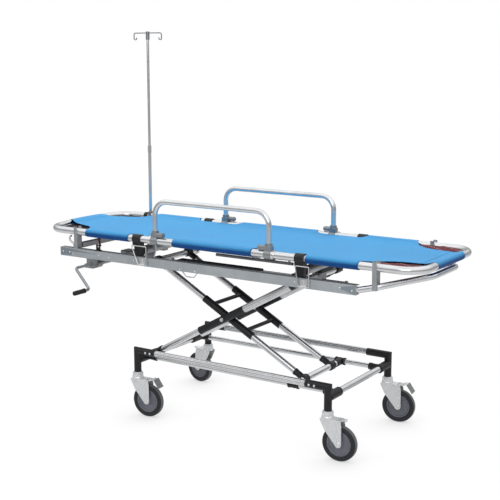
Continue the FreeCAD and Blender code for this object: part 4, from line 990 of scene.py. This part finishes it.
def studio_world():
    """White to the camera, even for diffuse light, banded by height in reflections."""
    world = bpy.data.worlds.new("studio")
    scene.world = world
    world.use_nodes = True
    graph = Graph(world.node_tree)
    output = graph.node("ShaderNodeOutputWorld")
    seen, diffuse, glossy = [
        graph.node("ShaderNodeBackground", {"Color": rgba(color), "Strength": strength})
        for color, strength in ((1.0, 1.0), ((0.97, 0.985, 1), 0.72), (1.0, 1.0))]
    # brightness in reflections, from straight down (0) to straight up (1)
    bands = [(0.0, 0.75), (0.30, 0.72), (0.42, 0.46), (0.52, 0.30), (0.60, 0.40),
             (0.69, 0.72), (0.79, 1.0), (0.90, 1.12), (1.0, 0.95)]
    coords = graph.node("ShaderNodeTexCoord").outputs["Generated"]
    height = graph.node("ShaderNodeSeparateXYZ", {"Vector": coords}).outputs["Z"]
    height = graph.node("ShaderNodeMapRange", {"From Min": -1, "From Max": 1,
                                               "Value": height}).outputs["Result"]
    graph.feed(glossy.inputs["Color"],
               graph.ramp(height, *[(position, (v, v, v * 1.01)) for position, v in bands]))
    rays = graph.node("ShaderNodeLightPath").outputs
    lighting = graph.node("ShaderNodeMixShader", {
        0: rays["Is Glossy Ray"], 1: diffuse.outputs[0], 2: glossy.outputs[0]})
    final = graph.node("ShaderNodeMixShader", {
        0: rays["Is Camera Ray"], 1: lighting.outputs[0], 2: seen.outputs[0]})
    graph.feed(output.inputs["Surface"], final.outputs[0])


def area_light(name, location, target, size, power, in_reflections):
    """Rectangular light aimed at a target; places in metres, power in watts."""
    light = bpy.data.lights.new(name, "AREA")
    light.shape = "RECTANGLE"
    light.size, light.size_y = size
    light.energy = power
    obj = bpy.data.objects.new(name, light)
    scene.collection.objects.link(obj)
    obj.location = location
    aim = Vector(target) - Vector(location)
    obj.rotation_euler = aim.to_track_quat("-Z", "Y").to_euler()
    obj.visible_glossy = in_reflections


def add_camera():
    """Camera beyond the foot end on the right side, looking slightly down."""
    data = bpy.data.cameras.new("camera")
    data.sensor_width = 36.0
    data.lens = 75.8844
    camera = bpy.data.objects.new("camera", data)
    scene.collection.objects.link(camera)
    forward = Vector((-0.5359, 0.8241, -0.1836)).normalized()
    right = Vector((0.8383, 0.5452, 0.0)).normalized()
    up = right.cross(forward).normalized()
    turn = Matrix((right, up, -forward)).transposed().to_4x4()
    camera.matrix_world = Matrix.Translation(place(2454.7, -3873.0, 1629.0)) @ turn
    scene.camera = camera


bpy.ops.mesh.primitive_plane_add(size=240, location=(0, 0, -0.0004))
floor = bpy.context.object
floor.name = "studio_floor"
floor.data.materials.append(floor_paper())
floor.visible_glossy = False

studio_world()
area_light("key_top", location=(-0.6, 0.4, 3.6), target=(0, 0, 0.4), size=(3.2, 2.4),
           power=52, in_reflections=False)
area_light("fill_front", location=(1.6, -3.6, 2.4), target=(0, 0, 0.7), size=(2.6, 1.6),
           power=26, in_reflections=True)
area_light("rim_back", location=(0.5, 3.6, 2.6), target=(0, 0, 0.8), size=(3.0, 1.4),
           power=30, in_reflections=False)

scene.view_settings.view_transform = "Standard"
scene.view_settings.look = "None"
scene.view_settings.exposure = 0.0
scene.view_settings.gamma = 1.0
add_camera()
